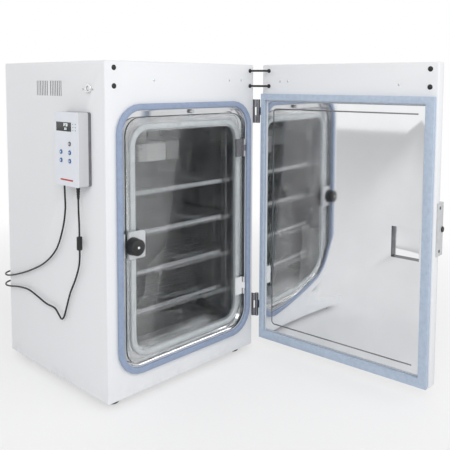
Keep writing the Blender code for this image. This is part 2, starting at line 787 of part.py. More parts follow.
def shelves():
    """Slotted stainless shelves with a turned-down lip at the front and rear."""
    x0 = CHAMBER[0] + SHELF_SIDE_GAP
    x1 = CHAMBER[1] - SHELF_SIDE_GAP
    y0 = into(SHELF_FRONT)
    y1 = y0 + SHELF_LENGTH
    edge = RACK_FRONT - SHELF_FRONT
    for number, level in enumerate(SHELF_LEVELS, 1):
        top = level + GAP + SHELF_SHEET
        bm = block((x0, y0, top - SHELF_LIP), (x1, y1, top))
        shelf = place(f"shelf_{number}", bm, stainless())
        under = block((x0 - CUT, y0 + SHELF_SHEET, top - 2 * SHELF_LIP),
                      (x1 + CUT, y1 - SHELF_SHEET, level + GAP))
        boolean(shelf, make_cutter(under))
        slots = []
        column = (x1 - x0 - 2 * edge) / SLOT_COLUMNS
        row = (SHELF_LENGTH - 2 * edge) / SLOT_ROWS
        for i in range(SLOT_COLUMNS):
            for j in range(SLOT_ROWS):
                sx = x0 + edge + column * i + SLOT_WIDTH / 2
                sy = y0 + edge + row * (j + 0.5) - SLOT_WIDTH / 2
                slots.append(((sx, sy, level - SHELF_LIP),
                              (sx + column - SLOT_WIDTH, sy + SLOT_WIDTH, top + SHELF_LIP)))
        boolean(shelf, make_cutter(blocks(slots)))


def humidity_tray():
    """Open stainless water tray on the chamber floor."""
    rect = (CHAMBER[0] + TRAY_MARGIN, CHAMBER[1] - TRAY_MARGIN)
    floor = CHAMBER[2] + GAP
    y0 = into(TRAY_FRONT)
    bm = block((rect[0], y0, floor), (rect[1], y0 + TRAY_LENGTH, floor + TRAY_HEIGHT),
               along=2, radius=TRAY_CORNER, steps=3)
    tray = place("humidity_tray", bm, stainless())
    water = block((rect[0] + SHEET, y0 + SHEET, floor + SHEET),
                  (rect[1] - SHEET, y0 + TRAY_LENGTH - SHEET, floor + 2 * TRAY_HEIGHT),
                  along=2, radius=TRAY_CORNER - SHEET, steps=3)
    boolean(tray, make_cutter(water))


def fan():
    """Fan box on a neck under the ceiling, its impeller and the motor above the liner."""
    x, y = CENTRE_X, into(FAN_DEPTH)
    ceiling = CHAMBER[3]
    roof = ceiling - FAN_DROP
    half = FAN_BOX / 2
    bm = block((x - half, y - half, roof - FAN_BOX_HEIGHT), (x + half, y + half, roof),
               along=2, radius=FAN_CORNER, steps=2)
    box = place("fan_housing", bm, material("white_plastic", (0.85, 0.85, 0.83), 0.4))
    neck = rod(FAN_NECK_RADIUS, (x, y, roof - FAN_WALL / 2), (x, y, ceiling - GAP))
    boolean(box, make_cutter(neck), "UNION")
    inner = half - FAN_WALL
    hollow = block((x - inner, y - inner, roof - FAN_BOX_HEIGHT + FAN_WALL),
                   (x + inner, y + inner, roof - FAN_WALL))
    boolean(box, make_cutter(hollow))
    intake = rod(FAN_INTAKE_RADIUS, (x, y, roof - FAN_BOX_HEIGHT - CUT),
                 (x, y, roof - FAN_BOX_HEIGHT + CUT), 24)
    boolean(box, make_cutter(intake))
    bore = rod(SHAFT_RADIUS + SHAFT_CLEAR, (x, y, roof - CUT), (x, y, ceiling + CUT), 12)
    boolean(box, make_cutter(bore))
    outlets = []
    reach = OUTLET_LENGTH / 2
    for k in range(OUTLET_COUNT):
        z = roof - FAN_BOX_HEIGHT + OUTLET_PITCH * (k + 1)
        outlets.append(((x - half - CUT, y - reach, z),
                        (x + half + CUT, y + reach, z + OUTLET_HEIGHT)))
    boolean(box, make_cutter(blocks(outlets)))

    motor_base = ceiling + LINER_SHEET + GAP
    motor = rod(MOTOR_RADIUS, (x, y, motor_base), (x, y, motor_base + MOTOR_HEIGHT), 20)
    drive = place("fan_motor", motor, aluminium())
    socket = rod(SHAFT_RADIUS + SHAFT_CLEAR, (x, y, motor_base - CUT),
                 (x, y, motor_base + SHAFT_ENTRY + FAN_WALL), 12)
    boolean(drive, make_cutter(socket))

    disc_top = roof - FAN_WALL - IMPELLER_DROP
    axis = hinge_empty("fan_axis", (x, y, disc_top))
    disc = rod(FAN_RADIUS, (0, 0, -FAN_WALL), (0, 0, 0), 24)
    wheel = place("fan_impeller", disc, black_plastic(), parent=axis)
    shaft = rod(SHAFT_RADIUS, (0, 0, -FAN_WALL / 2), (0, 0, motor_base + SHAFT_ENTRY - disc_top), 12)
    boolean(wheel, make_cutter(shaft, parent=axis), "UNION")
    hub = rod(3 * SHAFT_RADIUS, (0, 0, -FAN_BLADE_HEIGHT), (0, 0, -FAN_WALL / 2), 12)
    boolean(wheel, make_cutter(hub, parent=axis), "UNION")
    bm = bmesh.new()
    for k in range(FAN_BLADES):
        made = bmesh.ops.create_cube(bm, size=1.0)["verts"]
        bmesh.ops.scale(bm, vec=(BLADE_LENGTH, BLADE_SHEET, FAN_BLADE_HEIGHT - FAN_WALL / 2), verts=made)
        lean = Matrix.Rotation(BLADE_LEAN, 4, "Z")
        out = Matrix.Translation((BLADE_MIDDLE, 0, -FAN_BLADE_HEIGHT / 2 - FAN_WALL / 4))
        spread = Matrix.Rotation(2 * math.pi * k / FAN_BLADES, 4, "Z")
        bmesh.ops.transform(bm, matrix=spread @ out @ lean, verts=made)
    boolean(wheel, make_cutter(bm, parent=axis), "UNION")


def chamber_probe():
    """Turned sensor head for temperature, carbon dioxide and oxygen, on the rear wall."""
    wall = into(CHAMBER_BACK) - GAP
    profile = [(0, PROBE_LENGTH), (0.7 * PROBE_RADIUS, PROBE_LENGTH),
               (PROBE_RADIUS, PROBE_LENGTH - 0.003), (PROBE_RADIUS, 0.016),
               (0.8 * PROBE_RADIUS, 0.014), (0.8 * PROBE_RADIUS, 0.006),
               (1.7 * PROBE_RADIUS, 0.005), (1.7 * PROBE_RADIUS, 0), (0, 0)]
    turned("chamber_sensor", profile, stainless(),
           (CENTRE_X + PROBE_SIDE, wall, CHAMBER[3] - PROBE_DROP), (math.radians(90), 0, 0))


def electronics():
    """Power supply, control board and gas valves that stand on the floor of the bay."""
    floor = CHAMBER[3] + BAY_FLOOR + GAP
    corner = Vector((LEFT_X + BAY_MARGIN, into(BAY_DEPTH), floor))

    low = corner + Vector((SUPPLY_ACROSS[0] * BAY_WIDTH, SUPPLY_DEPTH, 0))
    high = low + Vector((SUPPLY_ACROSS[1] * BAY_WIDTH, SUPPLY_LENGTH, SUPPLY_HEIGHT))
    place("power_supply", block(low, high), aluminium())

    low = corner + Vector((BOARD_ACROSS[0] * BAY_WIDTH, BOARD_DEPTH, BOARD_STANDOFF))
    high = low + Vector((BOARD_ACROSS[1] * BAY_WIDTH, BOARD_LENGTH, BOARD_SHEET))
    inside = low.z + BOARD_SHEET / 2
    card = place("control_board", block(low, high), material("green_board", (0.05, 0.25, 0.12), 0.5))
    far = BOARD_LEG_INSET + BOARD_LEG
    legs = []
    for x in (low.x + BOARD_LEG_INSET, high.x - far):
        for y in (low.y + BOARD_LEG_INSET, high.y - far):
            legs.append(((x, y, floor), (x + BOARD_LEG, y + BOARD_LEG, inside)))
    boolean(card, make_cutter(blocks(legs)), "UNION")
    chips = []
    for spot, size in BOARD_CHIPS:
        start = Vector((low.x + spot[0], low.y + spot[1], inside))
        chips.append((start, start + Vector(size)))
    boolean(card, make_cutter(blocks(chips)), "UNION")

    low = corner + Vector((VALVE_ACROSS[0] * BAY_WIDTH, VALVE_DEPTH, 0))
    high = low + Vector((VALVE_ACROSS[1] * BAY_WIDTH, VALVE_LENGTH, VALVE_HEIGHT))
    valves = place("gas_valve_block", block(low, high), material("brass", (0.72, 0.55, 0.25), 0.3, 1.0))
    y = (low.y + high.y) / 2
    for k in range(VALVE_COUNT):
        x = low.x + (high.x - low.x) * (k + 0.5) / VALVE_COUNT
        coil = rod(COIL_RADIUS, (x, y, (low.z + high.z) / 2), (x, y, high.z + COIL_HEIGHT), 12)
        boolean(valves, make_cutter(coil), "UNION")


def rear_fittings():
    """Mains inlet, gas inlets with hose barbs, and the gland plate of the side cables."""
    face = BACK_Y + GAP
    mains = block((MAINS_X - MAINS_WIDTH / 2, face, MAINS_Z - MAINS_HEIGHT / 2),
                  (MAINS_X + MAINS_WIDTH / 2, face + MAINS_PROUD, MAINS_Z + MAINS_HEIGHT / 2),
                  along=1, radius=MAINS_CORNER, steps=2)
    inlet = place("mains_inlet", mains, black_plastic())
    across, up = SOCKET_WIDTH / 2, SOCKET_HEIGHT / 2
    well = block((MAINS_X - across, face + SOCKET_FLOOR, MAINS_Z - up),
                 (MAINS_X + across, face + MAINS_PROUD + CUT, MAINS_Z + up),
                 along=1, radius=MAINS_CORNER, steps=1)
    boolean(inlet, make_cutter(well))

    half = 1.5 * INLET_PITCH
    body = block((INLET_X - half, face, INLET_Z - INLET_BLOCK),
                 (INLET_X + half, face + INLET_BLOCK, INLET_Z + INLET_BLOCK))
    inlets = place("gas_inlets", body, stainless())
    for k in (-1, 0, 1):
        x = INLET_X + k * INLET_PITCH
        stem = rod(BARB_RADIUS, (x, face + INLET_BLOCK / 2, INLET_Z),
                   (x, face + INLET_BLOCK + BARB_LENGTH, INLET_Z), 12, tip=0.7 * BARB_RADIUS)
        boolean(inlets, make_cutter(stem), "UNION")
        start = face + INLET_BLOCK + BARB_RING
        ring = rod(1.3 * BARB_RADIUS, (x, start, INLET_Z), (x, start + BARB_RING_LENGTH, INLET_Z),
                   12, tip=0.7 * BARB_RADIUS)
        boolean(inlets, make_cutter(ring), "UNION")

    x = LEFT_X + GLAND_INSET
    plate = block((x - GLAND_PLATE_SIDE, face, GLAND_Z[0] - GLAND_PLATE_END),
                  (x + GLAND_PLATE_SIDE, face + GLAND_PLATE, GLAND_Z[1] + GLAND_PLATE_END))
    gland = place("cable_gland", plate, black_plastic())
    for z in GLAND_Z:
        boss = rod(GLAND_RADIUS, (x, face + GLAND_PLATE / 2, z), (x, face + GLAND_LENGTH, z), 12,
                   tip=0.75 * GLAND_RADIUS)
        boolean(gland, make_cutter(boss), "UNION")


def port_ring():
    """Chromed ring of the access port on the left side."""
    profile = [(PORT_BORE, PORT_HEIGHT), (PORT_RADIUS - PORT_RIM, PORT_HEIGHT),
               (PORT_RADIUS, PORT_HEIGHT - PORT_EDGE), (PORT_RADIUS, 0.0), (PORT_BORE, 0.0),
               (PORT_BORE, PORT_HEIGHT)]
    turned("port_ring", profile, material("chrome", (0.8, 0.8, 0.8), 0.08, 1.0),
           (LEFT_X - GAP, into(PORT_FRONT), PORT_Z), (0, math.radians(-90), 0))


def controller():
    """Box on the left side: dark back, pale shell, display window and its five buttons."""
    y0 = into(CONTROLLER_FRONT)
    y1 = y0 + CONTROLLER_WIDTH
    z0 = CONTROLLER_BOTTOM
    z1 = z0 + CONTROLLER_HEIGHT
    joint = LEFT_X - CONTROLLER_BACK
    back = block((joint, y0, z0), (LEFT_X - GAP, y1, z1), along=0, radius=CONTROLLER_EDGE, steps=3)
    place("controller_back", back, material("dark_grey_plastic", (0.12, 0.12, 0.13), 0.5))

    bm = block((COVER_FRONT, y0, z0), (joint - GAP, y1, z1), along=0,
               radius=CONTROLLER_EDGE, steps=3)
    cover = place("controller_cover", bm, pale_plastic())
    wall = CONTROLLER_WALL
    hollow = block((COVER_FRONT + wall, y0 + wall, z0 + wall), (joint + CUT, y1 - wall, z1 - wall))
    boolean(cover, make_cutter(hollow))
    display_y = y0 + DISPLAY_INSET
    display_z = z1 - DISPLAY_DROP
    pocket = block((COVER_FRONT - CUT, display_y, display_z - DISPLAY_HEIGHT),
                   (COVER_FRONT + DISPLAY_POCKET, display_y + DISPLAY_WIDTH, display_z))
    boolean(cover, make_cutter(pocket))
    window = block((COVER_FRONT - GAP, display_y + GAP, display_z - DISPLAY_HEIGHT + GAP),
                   (COVER_FRONT + DISPLAY_POCKET - GAP, display_y + DISPLAY_WIDTH - GAP,
                    display_z - GAP))
    place("controller_display", window, material("display_window", (0.010, 0.012, 0.015), 0.1))

    spots = [(BUTTON_COLUMNS[0], BUTTON_ROWS[0])]
    spots += [(column, row) for row in BUTTON_ROWS[1:] for column in BUTTON_COLUMNS]
    names = ("button_mute", "button_up", "button_set", "button_down", "button_enter")
    stem = BUTTON_PROUD + CONTROLLER_WALL + GAP
    base = BUTTON_PROUD - stem - BUTTON_FLANGE_SHEET
    profile = [(0, BUTTON_PROUD), (0.75 * BUTTON_RADIUS, BUTTON_PROUD),
               (BUTTON_RADIUS, BUTTON_PROUD - BUTTON_EDGE), (BUTTON_RADIUS, BUTTON_PROUD - stem),
               (BUTTON_FLANGE, BUTTON_PROUD - stem), (BUTTON_FLANGE, base), (0, base)]
    for name, (side, height) in zip(names, spots):
        y = y0 + side
        z = z0 + height
        hole = rod(BUTTON_RADIUS + BUTTON_CLEAR, (COVER_FRONT - CUT, y, z),
                   (COVER_FRONT + CUT, y, z), 14)
        boolean(cover, make_cutter(hole))
        turned(name, profile, material("blue_key", (0.25, 0.42, 0.62), 0.5),
               (COVER_FRONT, y, z), (0, math.radians(-90), 0), sides=14)


# Routes of the two side cables, as (away from the side, depth behind the front, height)
CONTROLLER_ROUTE = [
    (0.022, 0.158, 0.560), (0.022, 0.157, 0.535), (0.020, 0.160, 0.500), (0.016, 0.180, 0.445),
    (0.012, 0.222, 0.378), (0.010, 0.290, 0.325), (0.009, 0.375, 0.285), (0.009, 0.455, 0.256),
    (0.009, 0.505, 0.242), (0.006, 0.532, 0.238),
]
SENSOR_ROUTE = [
    (0.022, 0.093, 0.525), (0.021, 0.094, 0.500), (0.018, 0.097, 0.474), (0.017, 0.098, 0.455),
    (0.017, 0.098, 0.440), (0.017, 0.098, 0.395), (0.017, 0.098, 0.380), (0.015, 0.106, 0.352),
    (0.012, 0.128, 0.312), (0.011, 0.156, 0.268), (0.010, 0.176, 0.225),
    (0.010, 0.191, 0.192), (0.010, 0.204, 0.181), (0.010, 0.218, 0.190), (0.010, 0.240, 0.204),
    (0.010, 0.285, 0.206), (0.010, 0.335, 0.216), (0.010, 0.385, 0.224), (0.010, 0.440, 0.220),
    (0.009, 0.505, 0.208), (0.006, 0.532, 0.205),
]


def side_cables():
    """Two leads from the controller that hang on the side and go in at the rear gland."""
    bottom = CONTROLLER_BOTTOM - GAP
    gland_x = LEFT_X + GLAND_INSET
    gland_tip = BACK_Y + GAP + GLAND_LENGTH + GAP
    tubes = {}
    for name, route, z in (("controller_cable", CONTROLLER_ROUTE, GLAND_Z[1]),
                           ("sensor_cable", SENSOR_ROUTE, GLAND_Z[0])):
        points = [(LEFT_X - out, into(depth), height) for out, depth, height in route]
        turn_back = [(LEFT_X + 0.004, BACK_Y + 0.036, z), (LEFT_X + 0.022, BACK_Y + 0.046, z),
                     (gland_x - 0.006, BACK_Y + 0.038, z), (gland_x, gland_tip + 0.008, z),
                     (gland_x, gland_tip, z)]
        tubes[name] = points + turn_back
    start = tubes["controller_cable"][0]
    tubes["controller_cable"].insert(0, (start[0], start[1], bottom))
    first = tubes["sensor_cable"][0]
    relief_tip = bottom - RELIEF_LENGTH - GAP
    tubes["sensor_cable"].insert(0, (first[0], first[1], relief_tip))
    for name, points in tubes.items():
        cord_tube(name, smooth_route(points, CABLE_STEP), CABLE_RADIUS, black_rubber())
    relief = rod(RELIEF_TOP_RADIUS, (first[0], first[1], bottom),
                 (first[0], first[1], bottom - RELIEF_LENGTH), 14, tip=RELIEF_TIP_RADIUS)
    place("cable_relief", relief, black_rubber())
    half = FERRITE_LENGTH / 2
    profile = [(FERRITE_BORE, half), (FERRITE_RADIUS - 0.002, half),
               (FERRITE_RADIUS, half - 0.002), (FERRITE_RADIUS, 0.002 - half),
               (FERRITE_RADIUS - 0.002, -half), (FERRITE_BORE, -half), (FERRITE_BORE, half)]
    turned("ferrite_bead", profile, black_plastic(),
           (LEFT_X - FERRITE_OUT, into(FERRITE_DEPTH), FERRITE_Z), sides=14)


def door_empty():
    axis = (RIGHT_X + DOOR_AXIS_OUT, FRONT_Y - DOOR_AXIS_FORWARD, 0)
    return hinge_empty("outer_door_axis", axis, DOOR_OPEN)


def door_block(u0, u1, z0, z1, t0, t1, **rounding):
    """A box in the door's own frame: u from its hinge edge, t outwards from its inner face."""
    x = -DOOR_AXIS_OUT
    y = DOOR_AXIS_FORWARD - DOOR_GAP
    return block((x - u1, y - t1, z0), (x - u0, y - t0, z1), **rounding)


def outer_door(axis):
    """Insulated door: painted shell, foam, polished inner panel with its recess, and seal."""
    width = CABINET_WIDTH
    top = CABINET_HEIGHT
    thick = DOOR_THICKNESS
    shell_bm = door_block(0, width, DOOR_BOTTOM, top, 0, thick, radius=CASE_EDGE, steps=2)
    shell = place("door_shell", shell_bm, painted(), parent=axis)
    cavity = door_block(SHEET, width - SHEET, DOOR_BOTTOM + SHEET, top - SHEET,
                        SHEET, thick - SHEET, radius=CASE_EDGE - SHEET, steps=2)
    boolean(shell, make_cutter(cavity, parent=axis))

    seal_out = (DOOR_GASKET_LEFT, width - DOOR_GASKET_RIGHT, DOOR_BOTTOM + DOOR_GASKET_BOTTOM,
                top - DOOR_GASKET_TOP)
    front_seal = grow(OPENING, FRONT_GASKET_CLEAR + FRONT_GASKET_WIDTH)
    clear = DOOR_GASKET_CLEAR
    seal_in = (RIGHT_X - front_seal[1] - clear, RIGHT_X - front_seal[0] + clear,
               front_seal[2] - clear, front_seal[3] + clear)
    seal_bm = door_block(*seal_out, -GAP - DOOR_GASKET_HEIGHT, -GAP)
    seal = place("door_gasket", seal_bm, gasket_rubber(), parent=axis)
    boolean(seal, make_cutter(door_block(*seal_in, -THROUGH, THROUGH), parent=axis))
    round_edges(seal, GASKET_ROUND / 2)

    panel = inset(seal_in, PANEL_HINGE_SIDE, PANEL_FREE_SIDE, PANEL_MARGIN, PANEL_MARGIN)
    knob_u = RIGHT_X - KNOB_X
    recess = (knob_u - RECESS_WIDTH / 2, knob_u + RECESS_WIDTH / 2,
              KNOB_Z - RECESS_HEIGHT / 2, KNOB_Z + RECESS_HEIGHT / 2)
    window = grow(panel, -PANEL_MARGIN)
    boolean(shell, make_cutter(door_block(*window, -CUT, SHEET + 0.002), parent=axis))

    floor = RECESS_DEPTH - PANEL_PROUD
    panel_bm = door_block(*panel, -PANEL_PROUD, -GAP)
    sheet = place("door_inner_panel", panel_bm, polished(), parent=axis)
    cup = door_block(*grow(recess, RECESS_WALL), -2 * GAP, floor + RECESS_WALL)
    boolean(sheet, make_cutter(cup, parent=axis), "UNION")
    boolean(sheet, make_cutter(door_block(*recess, -THROUGH, floor), parent=axis))

    skin = SHEET + GAP
    foam_bm = door_block(skin, width - skin, DOOR_BOTTOM + skin, top - skin, skin, thick - skin,
                         radius=CASE_EDGE, steps=1)
    filling = place("door_foam", foam_bm, foam(), parent=axis)
    pocket = door_block(*grow(recess, RECESS_WALL + GAP), -CUT, floor + RECESS_WALL + GAP)
    boolean(filling, make_cutter(pocket, parent=axis))


def door_handle(axis):
    """Pull that wraps the door's free edge, with the lock barrel in its edge plate."""
    edge = CABINET_WIDTH + GAP
    thick = DOOR_THICKNESS
    low, high = HANDLE_BOTTOM, HANDLE_BOTTOM + HANDLE_HEIGHT
    outside = thick + HANDLE_PROUD
    bm = door_block(edge - HANDLE_WIDTH, edge + HANDLE_WALL, low, high, thick + GAP, outside,
                    along=2, radius=HANDLE_EDGE, steps=2)
    handle = place("door_handle", bm, grey_plastic(), parent=axis)
    plate = door_block(edge, edge + HANDLE_WALL, low, high, HANDLE_PLATE_START,
                       outside - HANDLE_PLATE_STEP)
    boolean(handle, make_cutter(plate, parent=axis), "UNION")
    grip = door_block(edge - 2 * HANDLE_WIDTH, edge - HANDLE_POST, low + HANDLE_END, high - HANDLE_END,
                      thick + HANDLE_WALL, outside - HANDLE_WALL)
    boolean(handle, make_cutter(grip, parent=axis))

    x = -DOOR_AXIS_OUT - edge
    y = DOOR_AXIS_FORWARD - DOOR_GAP - thick - HANDLE_PROUD / 2
    deep = HANDLE_POST - LOCK_END
    bore = rod(LOCK_SHANK + GAP, (x + deep, y, LOCK_Z), (x - HANDLE_WALL - CUT, y, LOCK_Z), 16)
    boolean(handle, make_cutter(bore, parent=axis))
    face = HANDLE_WALL + GAP
    profile = [(0, face + LOCK_PROUD), (LOCK_RADIUS - 0.001, face + LOCK_PROUD),
               (LOCK_RADIUS, face + LOCK_PROUD - 0.001), (LOCK_RADIUS, face), (LOCK_SHANK, face),
               (LOCK_SHANK, GAP - deep), (0, GAP - deep)]
    turned("door_lock", profile, black_plastic(), (x, y, LOCK_Z), (0, math.radians(-90), 0),
           axis, sides=16)


def outer_hinges(axis):
    """Pin hinges: leaf, knuckles and pin on the cabinet side, leaf and knuckle on the door."""
    ax = RIGHT_X + DOOR_AXIS_OUT
    ay = FRONT_Y - DOOR_AXIS_FORWARD
    third = HINGE_HEIGHT / 3
    for word, middle in zip(("lower", "upper"), HINGE_Z):
        low = middle - HINGE_HEIGHT / 2
        high = middle + HINGE_HEIGHT / 2
        leaf = block((RIGHT_X + GAP, FRONT_Y - HINGE_LEAF_FORWARD, low),
                     (RIGHT_X + GAP + HINGE_LEAF, FRONT_Y + HINGE_LEAF_LENGTH, high))
        fixed = place(f"cabinet_hinge_{word}", leaf, dark_chrome())
        root = Vector((RIGHT_X + GAP + HINGE_LEAF / 2, FRONT_Y - HINGE_LEAF_FORWARD / 2, 0))
        for a, b in ((low, middle - third / 2 - GAP), (middle + third / 2 + GAP, high)):
            boolean(fixed, make_cutter(web(root, Vector((ax, ay, 0)), a, b)), "UNION")
            knuckle = rod(HINGE_KNUCKLE, (ax, ay, a), (ax, ay, b), 16)
            boolean(fixed, make_cutter(knuckle), "UNION")
        pin = rod(HINGE_PIN, (ax, ay, low + HINGE_PIN_INSET), (ax, ay, high - HINGE_PIN_INSET), 10)
        boolean(fixed, make_cutter(pin), "UNION")

        x = -DOOR_AXIS_OUT
        y = DOOR_AXIS_FORWARD - DOOR_GAP
        leaf = block((x + GAP, y - HINGE_LEAF_BACK - HINGE_LEAF_LENGTH, low),
                     (x + GAP + HINGE_LEAF, y - HINGE_LEAF_BACK, high))
        moving = place(f"door_hinge_{word}", leaf, dark_chrome(), parent=axis)
        root = Vector((x + GAP + HINGE_LEAF / 2, y - HINGE_LEAF_BACK - HINGE_WEB, 0))
        a, b = middle - third / 2, middle + third / 2
        arm = web(root, Vector((0, 0, 0)), a, b)
        boolean(moving, make_cutter(arm, parent=axis), "UNION")
        knuckle = rod(HINGE_KNUCKLE, (0, 0, a), (0, 0, b), 16)
        boolean(moving, make_cutter(knuckle, parent=axis), "UNION")
        bore = rod(HINGE_PIN + GAP, (0, 0, a - CUT), (0, 0, b + CUT), 16)
        boolean(moving, make_cutter(bore, parent=axis))


def web(start, end, low, high):
    """A straight rib between two plan points, from one height to another."""
    bm = bmesh.new()
    bmesh.ops.create_cube(bm, size=1.0)
    run = end - start
    bmesh.ops.scale(bm, vec=(run.length, HINGE_WEB, high - low), verts=bm.verts)
    turn = Matrix.Rotation(math.atan2(run.y, run.x), 4, "Z")
    middle = (start + end) / 2
    move = Matrix.Translation((middle.x, middle.y, (low + high) / 2))
    bmesh.ops.transform(bm, matrix=move @ turn, verts=bm.verts)
    return bm


def bridge_cables(axis):
    """Two short leads from the cabinet's header into the door."""
    turn = Matrix.Rotation(DOOR_OPEN, 4, "Z")
    door = Vector((RIGHT_X + DOOR_AXIS_OUT, FRONT_Y - DOOR_AXIS_FORWARD, 0))
    for word, drop in zip(("lower", "upper"), BRIDGE_DROPS):
        z = CABINET_HEIGHT - drop
        start =Vector((RIGHT_X - BRIDGE_CABINET_INSET, FRONT_Y - GAP, z))
        local = Vector((-DOOR_AXIS_OUT - BRIDGE_DOOR_INSET,
                        DOOR_AXIS_FORWARD - DOOR_GAP + GAP, z))
        end = door + turn @ local
        leave = Vector((0, -BRIDGE_LEAN, 0))
        arrive = turn @ Vector((0, BRIDGE_LEAN, 0))
        points = []
        for k in range(BRIDGE_POINTS):
            t = k / (BRIDGE_POINTS - 1)
            s = 1 - t
            points.append(s ** 3 * start + 3 * s * s * t * (start + leave)
                          + 3 * s * t * t * (end + arrive) + t ** 3 * end)
        cord_tube(f"door_cable_{word}", points, BRIDGE_RADIUS, black_rubber())


def inner_door():
    """Glass pane with its ring seal, hinge clamps, latch block and latch knob."""
    axis_y = into(INNER_AXIS_DEPTH)
    axis = hinge_empty("inner_door_axis", (AXIS_X, axis_y, 0))
    shift = Matrix.Translation((-AXIS_X, -axis_y, 0))

    def local(bm):
        bmesh.ops.transform(bm, matrix=shift, verts=bm.verts)
        return bm

    pane = local(slab(GLASS, GLASS_DEPTH, GLASS_DEPTH + GLASS_SHEET, GLASS_RADIUS, 6))
    glass = place("inner_glass_door", pane, material("clear_glass", (0.80, 0.92, 0.88), 0.02,
                                                     alpha=0.3), parent=axis)
    shaft_hole = rod(LATCH_SHAFT + LATCH_CLEAR, (KNOB_X, into(-CUT), KNOB_Z),
                     (KNOB_X, into(THROAT_DEPTH), KNOB_Z), 16)
    boolean(glass, make_cutter(local(shaft_hole), parent=axis))

    behind = GLASS_DEPTH + GLASS_SHEET + GAP
    ring = local(slab(RING_OUTER, behind, THROAT_DEPTH - GAP, RING_RADIUS + RING_WIDTH, 5))
    seal = place("inner_ring_gasket", ring, clear_silicone(), parent=axis)
    hole = local(slab(RING_INNER, -THROUGH, THROUGH, RING_RADIUS, 5))
    boolean(seal, make_cutter(hole, parent=axis))
    round_edges(seal, GASKET_ROUND / 2, steps=1)

    third = INNER_HINGE_HEIGHT / 3
    face = GLASS_DEPTH - GAP
    inboard = AXIS_X - CLAMP_CLEAR
    for word, middle in zip(("lower", "upper"), INNER_HINGE_Z):
        half = INNER_HINGE_HEIGHT / 2
        plate = block((inboard - CLAMP_WIDTH, into(face - CLAMP_SHEET), middle - half),
                      (inboard, into(face), middle + half))
        clamp = place(f"glass_hinge_{word}", local(plate), dark_chrome(), parent=axis)
        low, high = middle - third / 2, middle + third / 2
        arm = block((inboard - CLAMP_ARM_OVERLAP, into(-CLAMP_ARM_FRONT), low),
                    (AXIS_X, into(face - CLAMP_ARM_BACK), high))
        boolean(clamp, make_cutter(local(arm), parent=axis), "UNION")
        knuckle = rod(INNER_KNUCKLE, (0, 0, low), (0, 0, high), 12)
        boolean(clamp, make_cutter(knuckle, parent=axis), "UNION")
        bore = rod(INNER_PIN + GAP, (0, 0, low - CUT), (0, 0, high + CUT), 12)
        boolean(clamp, make_cutter(bore, parent=axis))

    left = GLASS[0] + BLOCK_EDGE
    body = block((left, into(-BLOCK_FRONT), KNOB_Z - BLOCK_HEIGHT / 2),
                 (left + BLOCK_WIDTH, into(face), KNOB_Z + BLOCK_HEIGHT / 2),
                 along=1, radius=BLOCK_CORNER, steps=2)
    latch = place("latch_block", local(body), pale_plastic(), parent=axis)
    bore = rod(LATCH_SHAFT + LATCH_CLEAR, (KNOB_X, into(-BLOCK_FRONT - CUT), KNOB_Z),
               (KNOB_X, into(THROAT_DEPTH), KNOB_Z), 16)
    boolean(latch, make_cutter(local(bore), parent=axis))

    tongue_near = GLASS_DEPTH + GLASS_SHEET + TONGUE_BEHIND
    tongue_far = tongue_near + TONGUE_SHEET
    grip = KNOB_FRONT - BLOCK_FRONT - GAP
    spin = hinge_empty("latch_axis", (KNOB_X - AXIS_X, into(-BLOCK_FRONT - GAP) - axis_y, KNOB_Z))
    spin.parent = axis
    shaft_end = -BLOCK_FRONT - GAP - tongue_far
    profile = [(across * KNOB_RADIUS, up * grip) for across, up in KNOB_OUTLINE]
    profile += [(LATCH_SHAFT, 0), (LATCH_SHAFT, shaft_end), (0, shaft_end)]
    knob = turned("latch_knob", profile, black_plastic(), (0, 0, 0), (math.radians(90), 0, 0),
                  spin, sides=24)
    near = BLOCK_FRONT + GAP + tongue_near
    tongue = block((-TONGUE_WIDTH / 2, near, -TONGUE_REACH),
                   (TONGUE_WIDTH / 2, near + TONGUE_SHEET, TONGUE_TAIL))
    boolean(knob, make_cutter(tongue, parent=spin), "UNION")


def latch_keeper():
    """Keeper, one bent stainless strip on the flange, that the latch tongue turns in behind."""
    wall = OPENING[0] + SHEET + 2 * GAP
    inner = wall + KEEPER_SHEET
    tip = wall + KEEPER_LIP
    lip = KEEPER_FRONT + KEEPER_SHEET
    seat = THROAT_DEPTH - GAP
    foot = seat - KEEPER_SHEET
    outline = [(wall, KEEPER_FRONT), (tip, KEEPER_FRONT), (tip, lip), (inner, lip),
               (inner, foot), (tip, foot), (tip, seat), (wall, seat)]
    bm = bmesh.new()
    low = KNOB_Z - KEEPER_HEIGHT / 2
    end = bm.faces.new([bm.verts.new((x, into(depth), low)) for x, depth in outline])
    grown = bmesh.ops.extrude_face_region(bm, geom=[end])["geom"]
    far = [item for item in grown if isinstance(item, bmesh.types.BMVert)]
    bmesh.ops.translate(bm, vec=(0, 0, KEEPER_HEIGHT), verts=far)
    place("latch_keeper", bm, stainless())


outer_case()
insulation_core()
mouth_flange()
chamber_liner()
cabinet_closing_panels()
feet()
front_gasket()
shelf_racks()
shelves()
humidity_tray()
fan()
chamber_probe()
electronics()
rear_fittings()
port_ring()
controller()
side_cables()
OUTER_AXIS = door_empty()
outer_door(OUTER_AXIS)
door_handle(OUTER_AXIS)
outer_hinges(OUTER_AXIS)
bridge_cables(OUTER_AXIS)
inner_door()
latch_keeper()
bpy.context.view_layer.update()
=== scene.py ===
import json
import math

import bmesh
import bpy
from mathutils import Matrix, Vector

